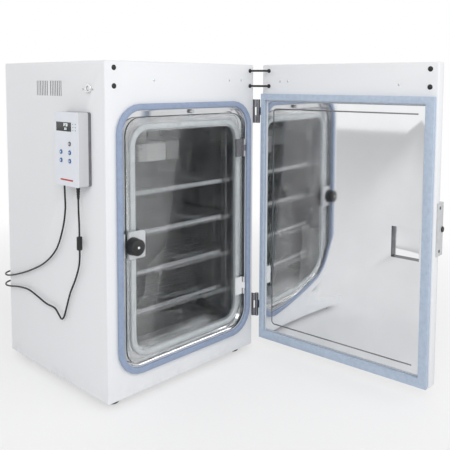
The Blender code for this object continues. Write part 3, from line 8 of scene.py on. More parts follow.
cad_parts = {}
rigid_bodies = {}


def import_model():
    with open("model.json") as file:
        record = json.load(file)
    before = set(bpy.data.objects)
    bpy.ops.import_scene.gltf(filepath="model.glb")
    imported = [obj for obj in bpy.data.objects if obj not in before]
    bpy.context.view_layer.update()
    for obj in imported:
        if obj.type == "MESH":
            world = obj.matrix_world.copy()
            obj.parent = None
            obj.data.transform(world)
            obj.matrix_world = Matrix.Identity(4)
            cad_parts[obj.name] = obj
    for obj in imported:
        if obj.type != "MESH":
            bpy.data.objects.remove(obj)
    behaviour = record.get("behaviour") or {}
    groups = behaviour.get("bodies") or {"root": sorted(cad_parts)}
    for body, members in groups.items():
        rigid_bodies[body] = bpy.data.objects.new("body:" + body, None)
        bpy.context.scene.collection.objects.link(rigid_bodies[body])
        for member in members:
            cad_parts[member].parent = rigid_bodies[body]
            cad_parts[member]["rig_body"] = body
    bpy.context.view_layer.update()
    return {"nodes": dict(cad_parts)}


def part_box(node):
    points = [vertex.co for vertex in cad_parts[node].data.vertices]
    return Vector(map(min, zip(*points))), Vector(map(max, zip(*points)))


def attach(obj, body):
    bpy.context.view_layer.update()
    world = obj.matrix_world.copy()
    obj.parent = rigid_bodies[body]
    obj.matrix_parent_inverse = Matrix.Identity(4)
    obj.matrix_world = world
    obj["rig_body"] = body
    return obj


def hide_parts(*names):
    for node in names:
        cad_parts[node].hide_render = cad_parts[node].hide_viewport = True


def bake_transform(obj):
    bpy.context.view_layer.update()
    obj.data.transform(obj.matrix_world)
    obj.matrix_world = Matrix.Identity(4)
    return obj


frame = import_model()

# The camera stands at the left front of the cabinet, just under its top, and looks almost level.
# It was fitted to the corners of the cabinet and of the open door in a picture 450 pixels wide.
PICTURE_WIDTH = 450
FOCAL_LENGTH_IN_PIXELS = 639.1
SENSOR_WIDTH = 36.0
CAMERA_PLACE = (-1.2328, -1.5931, 0.8454)
CAMERA_YAW = 46.07
CAMERA_PITCH = 4.72
CAMERA_ROLL = 0.22
CAMERA_SHIFT = -0.20

view_camera = bpy.data.cameras.new("view_camera")
view_camera.sensor_width = SENSOR_WIDTH
view_camera.lens = FOCAL_LENGTH_IN_PIXELS * SENSOR_WIDTH / PICTURE_WIDTH
view_camera.shift_y = CAMERA_SHIFT
view_camera.clip_start = 0.05
view_camera.clip_end = 60.0
camera = bpy.data.objects.new("view_camera", view_camera)
bpy.context.scene.collection.objects.link(camera)
camera.matrix_world = (Matrix.Translation(CAMERA_PLACE)
                       @ Matrix.Rotation(math.radians(-CAMERA_YAW), 4, "Z")
                       @ Matrix.Rotation(math.radians(90 - CAMERA_PITCH), 4, "X")
                       @ Matrix.Rotation(math.radians(CAMERA_ROLL), 4, "Z"))
bpy.context.scene.camera = camera

# The cabinet is 565 mm wide and 515 mm deep, and its middle stands at the origin. Its outer case,
# back and base are folded steel sheet, powder coated white, with the fine ripple of such a coat.
LEFT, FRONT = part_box("outer_case")[0][:2]
RIGHT, BACK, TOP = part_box("outer_case")[1]
MERGE_DISTANCE = 0.00001
FLAT_ANGLE = math.radians(1)
EDGE_SEGMENTS = 2


class Link:
    """An output of a finish's nodes. Sums, products and the like of links add Math nodes."""

    def __init__(self, finish, socket):
        self.finish = finish
        self.socket = socket

    def math(self, operation, *values):
        return self.finish.node("Math", {"operation": operation}, dict(enumerate(values)))

    def __add__(self, other):
        return self.math("ADD", self, other)

    def __radd__(self, other):
        return self.math("ADD", other, self)

    def __sub__(self, other):
        return self.math("SUBTRACT", self, other)

    def __rsub__(self, other):
        return self.math("SUBTRACT", other, self)

    def __mul__(self, other):
        return self.math("MULTIPLY", self, other)

    def __lt__(self, other):
        return self.math("LESS_THAN", self, other)

    def __gt__(self, other):
        return self.math("GREATER_THAN", self, other)


class Finish:
    """A material in the making, which ends in one Principled shader."""

    def __init__(self, name, **uniform):
        self.material = bpy.data.materials.new(name)
        self.material.use_nodes = True
        self.nodes = self.material.node_tree.nodes
        self.shader = self.nodes["Principled BSDF"]
        for socket, value in uniform.items():
            self.feed(self.shader.inputs[socket.replace("_", " ")], value)

    def feed(self, socket, value):
        if isinstance(value, Link):
            self.material.node_tree.links.new(value.socket, socket)
        else:
            socket.default_value = value

    def node(self, kind, settings, values, output=0):
        """Adds one node: its settings come first, then the values or links of its sockets."""
        made = self.nodes.new("ShaderNode" + kind)
        for setting, value in settings.items():
            setattr(made, setting, value)
        for socket, value in values.items():
            self.feed(made.inputs[socket], value)
        return Link(self, made.outputs[output])

    def place(self):
        """The point of the surface, in metres, in the frame of the part."""
        return self.node("TexCoord", {}, {}, "Object")

    def stretched(self, scale):
        return self.node("Mapping", {}, {"Vector": self.place(), "Scale": scale})

    def grain(self, size, detail):
        """Soft noise from 0 to 1 whose patches are about size metres wide."""
        return self.node("TexNoise", {}, {"Vector": self.place(), "Scale": 1 / size,
                                          "Detail": detail})

    def spread(self, value, low, high, least=0.0, most=1.0):
        """The value stretched from low..high to least..most, and held inside them."""
        return self.node("MapRange", {"clamp": True}, {"Value": value, "From Min": low,
                                                       "From Max": high, "To Min": least,
                                                       "To Max": most})

    def mixed(self, share, first, second):
        """A colour between two, by a share from 0 to 1."""
        return self.node("Mix", {"data_type": "RGBA"}, {0: share, 6: first, 7: second}, 2)

    def axes(self):
        point = self.place()
        return [self.node("SeparateXYZ", {}, {"Vector": point}, axis) for axis in "XYZ"]

    def bump(self, height, distance, strength):
        normal = self.node("Bump", {}, {"Height": height, "Distance": distance,
                                        "Strength": strength})
        self.feed(self.shader.inputs["Normal"], normal)

    def set(self, **varying):
        for socket, value in varying.items():
            self.feed(self.shader.inputs[socket.replace("_", " ")], value)
        return self.material


def colour(red, green, blue):
    return (red, green, blue, 1.0)


def refine(node, material, edge=0.0004, smooth_angle=40):
    """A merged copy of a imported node, with smooth curves and broken edges, that stands for it."""
    packed = frame["nodes"][node]
    bm = bmesh.new()
    bm.from_mesh(packed.data)
    bmesh.ops.remove_doubles(bm, verts=bm.verts, dist=MERGE_DISTANCE)
    bmesh.ops.dissolve_limit(bm, angle_limit=FLAT_ANGLE, verts=bm.verts, edges=bm.edges)
    return finished(node + "_finished", bm, material, packed["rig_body"],
                    edge, smooth_angle, stands_for=[node])


def finished(name, bm, material, body, edge=0.0, smooth_angle=40, stands_for=()):
    """Turns a bmesh into a piece that rides on a body, with its edges broken by a small bevel."""
    mesh = bpy.data.meshes.new(name)
    bm.to_mesh(mesh)
    bm.free()
    for face in mesh.polygons:
        face.use_smooth = True
    mesh.set_sharp_from_angle(angle=math.radians(smooth_angle))
    materials = material if isinstance(material, (list, tuple)) else [material]
    for one in materials:
        mesh.materials.append(one)
    piece = bpy.data.objects.new(name, mesh)
    bpy.context.scene.collection.objects.link(piece)
    if edge:
        rounding = piece.modifiers.new("broken_edges", "BEVEL")
        rounding.width = edge
        rounding.segments = EDGE_SEGMENTS
        rounding.limit_method = "ANGLE"
        rounding.angle_limit = math.radians(smooth_angle)
        rounding.harden_normals = False
    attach(piece, body)
    if stands_for:
        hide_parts(*stands_for)
    return piece


def powder_coat():
    """White powder coat: a faint cool tint, a rippled skin, and patches of darker grey within 5 cm
    of the bottom.
    """
    coat = Finish("white_powder_coat", IOR=1.5)
    height = coat.axes()[2]
    cloud = coat.grain(0.18, 2.0)
    # The coat turns a darker grey in patches within 5 cm of the bottom.
    low_darkening = coat.spread(height, 0.05, 0.0) * coat.spread(coat.grain(0.03, 5.0), 0.45, 0.75)
    white = coat.mixed(cloud, colour(0.815, 0.828, 0.848), colour(0.835, 0.846, 0.862))
    speck = coat.spread(coat.grain(0.0035, 2.0), 0.70, 0.78, 0.0, 0.25)
    coat.bump(coat.grain(0.0016, 2.0), 0.00004, 0.5)
    return coat.set(
        Base_Color=coat.mixed(low_darkening * 0.35 + speck * 0.2, white, colour(0.62, 0.63, 0.64)),
        Roughness=coat.spread(coat.grain(0.06, 3.0), 0.3, 0.7, 0.34, 0.44))


white_coat = powder_coat()
for node in ("outer_case", "back_panel", "base_pan"):
    refine(node, white_coat, edge=0.0004)

# Two black leads hang down the left side. The controller's lead leaves its underside, and the other
# one comes out of a tapered rubber relief beside it. Both run to the back and into one gland there.
LEAD_RADIUS = 0.0025
LEAD_STEP = 0.0075
LEAD_SIDES = 4
SPAN_SAMPLES = 12
CONTROLLER_FLOOR = 0.5717
RELIEF_END = 0.5374
GLAND_X = LEFT + 0.045
GLAND_TIP = BACK + 0.0166
CONTROLLER_LEAD_HEIGHT = 0.237
SENSOR_LEAD_HEIGHT = 0.205
CONTROLLER_ROUTE = [
    (0.022, 0.158, 0.560), (0.022, 0.157, 0.535), (0.020, 0.160, 0.500), (0.016, 0.180, 0.445),
    (0.012, 0.222, 0.378), (0.010, 0.290, 0.325), (0.009, 0.375, 0.285), (0.009, 0.455, 0.256),
    (0.009, 0.505, 0.242), (0.006, 0.532, 0.238)]
SENSOR_ROUTE = [
    (0.022, 0.093, 0.525), (0.021, 0.094, 0.500), (0.018, 0.097, 0.474), (0.017, 0.098, 0.455),
    (0.017, 0.098, 0.440), (0.017, 0.098, 0.395), (0.017, 0.098, 0.380), (0.015, 0.106, 0.352),
    (0.012, 0.128, 0.312), (0.011, 0.156, 0.268), (0.010, 0.176, 0.225), (0.010, 0.191, 0.192),
    (0.010, 0.204, 0.181), (0.010, 0.218, 0.190), (0.010, 0.240, 0.204), (0.010, 0.285, 0.206),
    (0.010, 0.335, 0.216), (0.010, 0.385, 0.224), (0.010, 0.440, 0.220), (0.009, 0.505, 0.208),
    (0.006, 0.532, 0.205)]


def smooth_route(points, step):
    """Points at even steps along one smooth curve through the given ones."""
    given = [Vector(p) for p in points]
    ends = [given[0] * 2 - given[1]] + given + [given[-1] * 2 - given[-2]]
    fine = []
    for k in range(1, len(ends) - 2):
        a, b, c, d = ends[k - 1:k + 3]
        for i in range(SPAN_SAMPLES):
            t = i / SPAN_SAMPLES
            fine.append((b * 2 + (c - a) * t + (a * 2 - b * 5 + c * 4 - d) * t * t
                         + (b * 3 - a - c * 3 + d) * t ** 3) / 2)
    fine.append(given[-1])
    run = [0.0]
    for before, after in zip(fine, fine[1:]):
        run.append(run[-1] + (after - before).length)
    count = round(run[-1] / step)
    even, k = [], 0
    for i in range(count + 1):
        goal = run[-1] * i / count
        while k < len(run) - 2 and run[k + 1] < goal:
            k += 1
        share = (goal - run[k]) / (run[k + 1] - run[k])
        even.append(fine[k].lerp(fine[k + 1], min(share, 1.0)))
    return even


def route_length(points):
    return sum((b - a).length for a, b in zip(points, points[1:]))


def side_route(start_height, route, height):
    """The lead's whole route: down from the controller, back along the side, and into the gland."""
    points = [(LEFT - out, FRONT + depth, z) for out, depth, z in route]
    turn_back = [(LEFT + 0.004, BACK + 0.036, height), (LEFT + 0.022, BACK + 0.046, height),
                 (GLAND_X - 0.006, BACK + 0.038, height), (GLAND_X, GLAND_TIP + 0.008, height),
                 (GLAND_X, GLAND_TIP, height)]
    return [(*points[0][:2], start_height)] + points + turn_back


def cable_sheath():
    """Black sheath with a soft sheen and fine dust."""
    sheath = Finish("cable_sheath", Base_Color=colour(0.012, 0.012, 0.013), IOR=1.48)
    dust = sheath.spread(sheath.grain(0.006, 4.0), 0.5, 0.8)
    sheath.bump(sheath.grain(0.0012, 2.0), 0.00005, 0.4)
    return sheath.set(Base_Color=sheath.mixed(dust * 0.3, colour(0.010, 0.010, 0.011),
                                              colour(0.035, 0.035, 0.037)),
                      Roughness=sheath.spread(dust, 0.0, 1.0, 0.38, 0.58))


black_sheath = cable_sheath()


def lead(name, points, radius, body, stands_for):
    """A round lead along a route, as one open curve with closed ends."""
    curve = bpy.data.curves.new(name, "CURVE")
    curve.dimensions = "3D"
    curve.bevel_depth = radius
    curve.bevel_resolution = LEAD_SIDES
    curve.use_fill_caps = True
    spline = curve.splines.new("POLY")
    spline.points.add(len(points) - 1)
    for spot, point in zip(spline.points, points):
        spot.co = (*point, 1.0)
    spline.use_smooth = True
    curve.materials.append(black_sheath)
    piece = bpy.data.objects.new(name, curve)
    bpy.context.scene.collection.objects.link(piece)
    if body:
        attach(piece, body)
    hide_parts(stands_for)
    return piece


# The relief is a ribbed rubber cone under the controller. The ferrite is a black bead, moulded
# round the second lead some way down, with a groove at each end where its two halves close.
RELIEF_RIBS = 5
RIB_DEPTH = 0.0006
RIB_SLOPE = 0.02
RELIEF_TIP_RADIUS = 0.0036
LEAD_CLEARANCE = 0.0001
GROOVE_DEPTH = 0.0004
GROOVE_HALF = 0.0003


def turned_shape(profile, middle, sides=32):
    """A body of revolution about an upright line: profile is a list of (radius, height)."""
    bm = bmesh.new()
    verts = [bm.verts.new((radius, 0.0, height)) for radius, height in profile]
    edges = [bm.edges.new(pair) for pair in zip(verts, verts[1:])]
    bmesh.ops.spin(bm, geom=verts + edges, cent=(0, 0, 0), axis=(0, 0, 1), angle=math.tau,
                   steps=sides, use_merge=True)
    bmesh.ops.remove_doubles(bm, verts=bm.verts, dist=MERGE_DISTANCE)
    bmesh.ops.recalc_face_normals(bm, faces=bm.faces)
    bmesh.ops.translate(bm, verts=bm.verts, vec=middle)
    return bm


def moulded(name, base, dusty, roughness=0.42, texture=0.0009):
    """Moulded plastic or rubber: a fine spark-eroded skin, with slight dust in it."""
    skin = Finish(name, IOR=1.46)
    fine = skin.grain(texture, 2.0)
    patch = skin.grain(0.02, 3.0)
    skin.bump(fine, 0.00006, 0.35)
    return skin.set(Base_Color=skin.mixed(skin.spread(patch, 0.35, 0.75), base, dusty),
                    Roughness=skin.spread(fine, 0.3, 0.7, roughness - 0.05, roughness + 0.07))


black_rubber = moulded("black_rubber_skin", colour(0.014, 0.014, 0.015),
                       colour(0.024, 0.024, 0.025), 0.6)
black_plastic = moulded("black_moulded_plastic", colour(0.010, 0.010, 0.011),
                        colour(0.020, 0.020, 0.021), 0.4)

relief_low, relief_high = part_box("cable_relief")
relief_middle = ((relief_low[0] + relief_high[0]) / 2, (relief_low[1] + relief_high[1]) / 2, 0.0)
relief_length = relief_high[2] - relief_low[2]
relief_radius = (relief_high[0] - relief_low[0]) / 2
relief_bore = LEAD_RADIUS + LEAD_CLEARANCE
relief_profile = [(relief_bore, relief_high[2]), (relief_radius, relief_high[2])]
for rib in range(RELIEF_RIBS):
    top_share = (rib + 0.35) / RELIEF_RIBS
    low_share = (rib + 0.75) / RELIEF_RIBS
    for share, depth in ((top_share, 0.0), (top_share + RIB_SLOPE, RIB_DEPTH),
                         (low_share, RIB_DEPTH), (low_share + RIB_SLOPE, 0.0)):
        radius = relief_radius + (RELIEF_TIP_RADIUS - relief_radius) * share
        relief_profile.append((radius - depth, relief_high[2] - relief_length * share))
relief_profile += [(RELIEF_TIP_RADIUS, relief_low[2]), (relief_bore, relief_low[2]),
                   (relief_bore, relief_high[2])]
cable_relief = finished("ribbed_cable_relief", turned_shape(relief_profile, relief_middle),
                        black_rubber, "cabinet", edge=0.0002,
                        stands_for=["cable_relief"])

bead_low, bead_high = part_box("ferrite_bead")
bead_middle = ((bead_low[0] + bead_high[0]) / 2, (bead_low[1] + bead_high[1]) / 2, 0.0)
bead_radius = (bead_high[0] - bead_low[0]) / 2
BEAD_BORE = 0.0030
BEAD_SHOULDER = 0.0015
BEAD_GROOVE = 0.0045
bead_profile = [(BEAD_BORE, bead_high[2]), (bead_radius - BEAD_SHOULDER, bead_high[2]),
                (bead_radius, bead_high[2] - BEAD_SHOULDER),
                (bead_radius, bead_high[2] - BEAD_GROOVE),
                (bead_radius - GROOVE_DEPTH, bead_high[2] - BEAD_GROOVE - GROOVE_HALF),
                (bead_radius, bead_high[2] - BEAD_GROOVE - 2 * GROOVE_HALF),
                (bead_radius, bead_low[2] + BEAD_GROOVE + 2 * GROOVE_HALF),
                (bead_radius - GROOVE_DEPTH, bead_low[2] + BEAD_GROOVE + GROOVE_HALF),
                (bead_radius, bead_low[2] + BEAD_GROOVE),
                (bead_radius, bead_low[2] + BEAD_SHOULDER),
                (bead_radius - BEAD_SHOULDER, bead_low[2]), (BEAD_BORE, bead_low[2]),
                (BEAD_BORE, bead_high[2])]
ferrite_bead = finished("ferrite_bead_moulding", turned_shape(bead_profile, bead_middle),
                        black_plastic, "cabinet", edge=0.0002,
                        stands_for=["ferrite_bead"])

controller_points = smooth_route(
    side_route(CONTROLLER_FLOOR, CONTROLLER_ROUTE, CONTROLLER_LEAD_HEIGHT), LEAD_STEP)
controller_lead = lead("controller_lead", controller_points, LEAD_RADIUS, "cabinet",
                       "controller_cable")
route_length(controller_points)

sensor_points = smooth_route(side_route(RELIEF_END, SENSOR_ROUTE, SENSOR_LEAD_HEIGHT), LEAD_STEP)
sensor_lead = lead("sensor_lead", sensor_points, LEAD_RADIUS, "cabinet", "sensor_cable")
route_length(sensor_points)

refine("cable_gland", black_plastic, edge=0.0006)

# Two short black cables cross from the cabinet's header to the door.
# Each leaves a small round bush in the sheet, bows forward, and goes into the door's inner face.
BRIDGE_RADIUS = 0.0032
BRIDGE_STEPS = 32
BRIDGE_LEAN = 0.035
BUSH_RADIUS = 0.0062
BUSH_HEIGHT = 0.0026
BUSH_SEAT = 0.0003
BUSH_SIDES = 24
HEADER_BUSH_INSET = 0.018
DOOR_BUSH_ACROSS = 0.037
HINGE_ASIDE, HINGE_AHEAD = 0.012, 0.010
DOOR_FACE_DEEP = 0.005
DOOR_REST_ANGLE = math.radians(94)
DOOR_AXIS = Vector((RIGHT + HINGE_ASIDE, FRONT - HINGE_AHEAD, 0.0))

door_turn = Matrix.Rotation(DOOR_REST_ANGLE, 3, "Z")
door_across = door_turn @ Vector((-1, 0, 0))
door_inward = door_turn @ Vector((0, 1, 0))
bridge_start = Vector((RIGHT - HEADER_BUSH_INSET, FRONT - BUSH_SEAT, 0.0))
bridge_end = (DOOR_AXIS + door_across * DOOR_BUSH_ACROSS
              - door_inward * (DOOR_FACE_DEEP - BUSH_SEAT))


def bezier(start, leave, arrive, end, steps):
    """Points along one cubic curve."""
    points = []
    for k in range(steps + 1):
        t = k / steps
        points.append(start * (1 - t) ** 3 + leave * 3 * t * (1 - t) ** 2
                      + arrive * 3 * t * t * (1 - t) + end * t ** 3)
    return points


def standing(name, profile, place, outward, material, body):
    """A turned piece whose foot is on a sheet and whose axis points outward."""
    bm = turned_shape(profile, (0, 0, 0), BUSH_SIDES)
    turn = Vector((0, 0, 1)).rotation_difference(Vector(outward)).to_matrix().to_4x4()
    bmesh.ops.transform(bm, matrix=Matrix.Translation(place) @ turn, verts=bm.verts)
    return finished(name, bm, material, body)


domed_bush = [(BRIDGE_RADIUS, 0.0), (BUSH_RADIUS, 0.0), (BUSH_RADIUS, BUSH_HEIGHT * 0.5),
              (BUSH_RADIUS * 0.86, BUSH_HEIGHT * 0.85), (BUSH_RADIUS * 0.66, BUSH_HEIGHT),
              (BRIDGE_RADIUS, BUSH_HEIGHT), (BRIDGE_RADIUS, 0.0)]
for name, height in (("lower", 0.834), ("upper", 0.881)):
    rise = Vector((0, 0, height))
    start = bridge_start + rise
    end = bridge_end + rise
    leave = start + Vector((0, -BRIDGE_LEAN, 0))
    arrive = end + door_inward * BRIDGE_LEAN
    points = bezier(start, leave, arrive, end, BRIDGE_STEPS)
    cable = lead("bridge_lead_" + name, points, BRIDGE_RADIUS, None, "door_cable_" + name)
    mesh = bpy.data.meshes.new_from_object(cable)
    bridge = bpy.data.objects.new("bridge_cable_" + name, mesh)
    bpy.context.scene.collection.objects.link(bridge)
    bpy.data.objects.remove(cable)
    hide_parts("door_cable_" + name)
    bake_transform(bridge)
    route_length(points)
    standing("header_bush_" + name, domed_bush, start, (0, -1, 0), black_rubber, "cabinet")
    standing("door_bush_" + name, domed_bush, end - door_inward * BUSH_SEAT, door_inward,
             black_rubber, "outer_door")

# The chamber, its racks, shelves, tray and sensor are stainless sheet with a satin rolled grain.
# The chamber's liner is coloured much darker than the others, as painted shade inside the chamber.
# The flange round the mouth is the same steel, polished almost to a mirror.


def steel(name, dark, light, rough, grain_scale, depth):
    """Stainless sheet: long rolling marks one way, faint clouds, and a few wiped smears."""
    sheet = Finish(name, Metallic=1.0)
    marks = sheet.node("TexNoise", {}, {"Vector": sheet.stretched(grain_scale), "Scale": 1.0,
                                        "Detail": 3.0})
    cloud = sheet.grain(0.09, 3.0)
    sheet.bump(marks, depth, 0.4)
    return sheet.set(Base_Color=sheet.mixed(sheet.spread(cloud, 0.3, 0.7), dark, light),
                     Roughness=sheet.spread(marks + cloud * 0.5, 0.4, 1.1, rough * 0.85,
                                            rough * 1.2))


# The liner's dark colour is painted shade: it is the shelves' steel, darkened for the shaded
# chamber.
painted_shade_chamber_steel = steel("painted_shade_chamber_steel", colour(0.25, 0.255, 0.26), colour(0.31, 0.315, 0.32), 0.13,
                      (20, 20, 900), 0.000004)
shelf_steel = steel("shelf_steel", colour(0.58, 0.59, 0.60), colour(0.66, 0.67, 0.68), 0.24,
                    (15, 700, 700), 0.00002)
mirror_steel = steel("mirror_steel", colour(0.70, 0.70, 0.71), colour(0.76, 0.76, 0.77), 0.07,
                     (900, 40, 40), 0.000004)
refine("chamber_liner", painted_shade_chamber_steel, edge=0.0003)
for node in ("shelf_rack_left", "shelf_rack_right", "humidity_tray", "chamber_sensor",
             "gas_inlets"):
    refine(node, shelf_steel, edge=0.0003)

# The shelves are stainless sheet with turned-down lips, and rest on the racks. Between their slots
# they are punched with rows of round holes, which let the air through.
HOLE_PITCH = 0.013
HOLE_RADIUS = 0.0036
HOLES_FROM, HOLES_TO = FRONT + 0.053, FRONT + 0.397


def punched_steel():
    """Satin sheet with its round holes cut out by transparency, away from the turned-down lips."""
    sheet = Finish("punched_steel", Metallic=1.0)
    marks = sheet.node("TexNoise", {}, {"Vector": sheet.stretched((15, 700, 700)), "Scale": 1.0})
    across, along, _ = sheet.axes()
    offsets = []
    for axis in (across, along):
        cell = axis * (1 / HOLE_PITCH)
        offsets.append(cell.math("FRACT", cell) - 0.5)
    inside = (offsets[0] * offsets[0] + offsets[1] * offsets[1]) < (HOLE_RADIUS / HOLE_PITCH) ** 2
    hole = inside * (along > HOLES_FROM) * (along < HOLES_TO)
    return sheet.set(Base_Color=sheet.mixed(marks, colour(0.52, 0.53, 0.54),
                                            colour(0.57, 0.58, 0.59)),
                     Roughness=sheet.spread(marks, 0.3, 0.7, 0.20, 0.24), Alpha=1.0 - hole)


punched = punched_steel()
for number in (1, 2, 3, 4):
    refine(f"shelf_{number}", punched, edge=0.0003)
refine("mouth_flange", mirror_steel, edge=0.0003)
refine("latch_keeper", white_coat, edge=0.0003)

# Screws, studs and bumpers stand on the sheet round the opening. A screw has a domed head with a
# round socket. A bumper is a soft black dome, and a stud a plain pin with a small collar.
FLANGE_FACE = FRONT + 0.016
PORT_SCREW_HEIGHT = 0.826
LOCK_PLATE_ACROSS, LOCK_PLATE_DEEP = 0.5803, 0.034
KNURL_STEP, KNURL_RINGS = 0.0009, 9


def screw_head(radius, height):
    return [(0, height * 0.35), (radius * 0.36, height * 0.35), (radius * 0.40, height),
            (radius * 0.75, height * 0.88), (radius, height * 0.35), (radius, 0), (0, 0)]


bumper_dome = [(0, 0.0030), (0.0035, 0.0027), (0.0058, 0.0018), (0.0070, 0.0004), (0.0070, 0),
               (0, 0)]
stud_pin = [(0, 0.0050), (0.0018, 0.0050), (0.0022, 0.0044), (0.0022, 0.0020), (0.0040, 0.0016),
            (0.0040, 0), (0, 0)]


def on_door_face(across, height):
    return (DOOR_AXIS + door_across * (HINGE_ASIDE + across) - door_inward * DOOR_FACE_DEEP
            + Vector((0, 0, height)))


def on_cabinet_front(across, height):
    return Vector((LEFT + across, FRONT, height))


for number, (across, height) in enumerate(((0.028, 0.882), (0.028, 0.835)), 1):
    standing(f"cabinet_bumper_{number}", bumper_dome, on_cabinet_front(across, height), (0, -1, 0),
             black_rubber, "cabinet")
for number, height in enumerate((0.882, 0.835), 1):
    standing(f"door_bumper_{number}", bumper_dome, on_door_face(0.542, height), door_inward,
             black_rubber, "outer_door")
for number, (across, height) in enumerate(((0.160, 0.850), (0.453, 0.851), (0.506, 0.851)), 1):
    standing(f"header_screw_{number}", screw_head(0.0032, 0.0014), on_cabinet_front(across, height),
             (0, -1, 0), shelf_steel, "cabinet")
for number, (across, height) in enumerate(((0.068, 0.848), (0.096, 0.849), (0.456, 0.841)), 1):
    standing(f"door_screw_{number}", screw_head(0.0032, 0.0014), on_door_face(across, height),
             door_inward, shelf_steel, "outer_door")
for number, depth in enumerate((0.053, 0.095), 1):
    standing(f"port_screw_{number}", screw_head(0.0030, 0.0014),
             (LEFT, FRONT + depth, PORT_SCREW_HEIGHT), (-1, 0, 0), shelf_steel, "cabinet")
dark_steel = steel("dark_screw_steel", colour(0.10, 0.10, 0.11), colour(0.16, 0.16, 0.17), 0.35,
                   (300, 300, 300), 0.00002)
for number, height in enumerate((0.398, 0.515), 1):
    place = (DOOR_AXIS + door_across * LOCK_PLATE_ACROSS - door_inward * LOCK_PLATE_DEEP
             + Vector((0, 0, height)))
    standing(f"lock_plate_screw_{number}", screw_head(0.0045, 0.0012), place, door_across,
             dark_steel, "outer_door")
for number, (across, height) in enumerate(((0.0595, 0.600), (0.0585, 0.575), (0.0585, 0.190),
                                           (0.0585, 0.150)), 1):
    standing(f"flange_stud_{number}", stud_pin, (LEFT + across, FLANGE_FACE, height), (0, -1, 0),
             shelf_steel, "cabinet")
rings = [(0.0052 if ring % 2 else 0.0058, 0.010 - ring * KNURL_STEP) for ring in range(KNURL_RINGS)]
knurled = [(0, 0.0105)] + rings + [(0.0040, 0.0020), (0.0040, 0), (0, 0)]
standing("knurled_fitting", knurled, (0.0265, FLANGE_FACE, 0.7615), (0, -1, 0), shelf_steel,
         "cabinet")

# The seals are moulded silicone: blue-grey round the cabinet's opening, paler on the door, and a
# milky ring behind the glass. Silicone is slightly waxy, with fine flow marks along it.


def silicone(name, base, shade, rough):
    seal = Finish(name, IOR=1.43, Roughness=rough)
    flow = seal.grain(0.012, 4.0)
    dust = seal.spread(seal.grain(0.003, 3.0), 0.55, 0.80)
    seal.bump(seal.grain(0.0014, 2.0), 0.00005, 0.4)
    return seal.set(Base_Color=seal.mixed(seal.spread(flow, 0.35, 0.7), base, shade),
                    Roughness=rough + dust * 0.15)


refine("front_gasket", silicone("cabinet_seal_silicone", colour(0.305, 0.376, 0.520),
                                colour(0.27, 0.33, 0.46), 0.48), edge=0, smooth_angle=60)
refine("door_gasket", silicone("door_seal_silicone", colour(0.485, 0.575, 0.70),
                               colour(0.43, 0.51, 0.63), 0.50), edge=0, smooth_angle=60)
refine("inner_ring_gasket", silicone("ring_seal_silicone", colour(0.62, 0.66, 0.67),
                                     colour(0.54, 0.58, 0.60), 0.45), edge=0, smooth_angle=60)

# The inner door is a 5 mm pane of toughened glass. Its faces are clear with faint smears, and its
# ground and chamfered rim is coloured near-black green as a painted dark reflection, which draws
# the dark line round it.
RIM_CHAMFER = 0.0012


def clear_pane():
    pane = Finish("clear_pane", IOR=1.45, Transmission_Weight=1.0)
    smear = pane.grain(0.05, 4.0)
    return pane.set(Base_Color=pane.mixed(smear, colour(0.95, 0.98, 0.97), colour(0.98, 1.0, 0.99)),
                    Roughness=pane.spread(smear, 0.55, 0.8, 0.0, 0.008),
                    Alpha=pane.spread(smear, 0.3, 0.8, 0.26, 0.30))


# The rim's near-black green is a painted dark reflection along the pane's edge.
def painted_dark_rim():
    rim = Finish("painted_dark_rim", IOR=1.45)
    fine = rim.grain(0.001, 2.0)
    rim.bump(fine, 0.00003, 0.4)
    return rim.set(Base_Color=rim.mixed(fine, colour(0.012, 0.030, 0.028),
                                        colour(0.04, 0.075, 0.07)),
                   Roughness=rim.spread(fine, 0.3, 0.7, 0.18, 0.35))


pane = frame["nodes"]["inner_glass_door"]
bm = bmesh.new()
bm.from_mesh(pane.data)
bmesh.ops.remove_doubles(bm, verts=bm.verts, dist=MERGE_DISTANCE)
for face in bm.faces:
    face.material_index = 0 if abs(face.normal.y) > 0.5 else 1
rim_edges = [edge for edge in bm.edges
             if len({face.material_index for face in edge.link_faces}) == 2]
bmesh.ops.bevel(bm, geom=rim_edges, offset=RIM_CHAMFER, offset_type="OFFSET", segments=1,
                profile=0.5, affect="EDGES", material=1)
finished("glass_pane", bm, [clear_pane(), painted_dark_rim()], "inner_door",
         stands_for=["inner_glass_door"])

# The door is a painted shell of folded sheet. A polished steel panel is let into its inner face and
# mirrors the chamber. The walls of the recess in it for the knob are coloured dark steel, as
# painted shade in the recess.
RECESS_START = 0.001
refine("door_shell", white_coat, edge=0.0004)
polished_panel = steel("polished_panel", colour(0.84, 0.85, 0.86), colour(0.88, 0.89, 0.90), 0.05,
                       (30, 30, 500), 0.000003)
# Dark steel as painted shade on the recess walls, and as a painted dark reflection on the bead.
painted_shade_and_reflection_steel = steel("painted_shade_and_reflection_steel", colour(0.20, 0.20, 0.21), colour(0.30, 0.30, 0.31), 0.30,
                     (30, 30, 500), 0.000010)
panel = refine("door_inner_panel", [polished_panel, painted_shade_and_reflection_steel], edge=0.0003)
# The faces of the recess walls take the dark steel: painted shade.
for face in panel.data.polygons:
    deep = (face.center - DOOR_AXIS).dot(-door_inward) - DOOR_FACE_DEEP
    if deep > RECESS_START and abs(face.normal.dot(door_inward)) < 0.5:
        face.material_index = 1

# A low flat bead is pressed along the panel's top, hinge side and bottom. It is coloured in the
# dark steel, so that it draws a line inside its edge: a painted dark reflection. It stops short of
# the free side, where the recess for the knob reaches the border.
BEAD_INSET, BEAD_WIDTH, BEAD_RISE = 0.020, 0.004, 0.0005
BEAD_CORNER, CORNER_STEPS = 0.012, 6
BEAD_SECTION = ((0, 0), (0.3, 1), (0.7, 1), (1, 0))


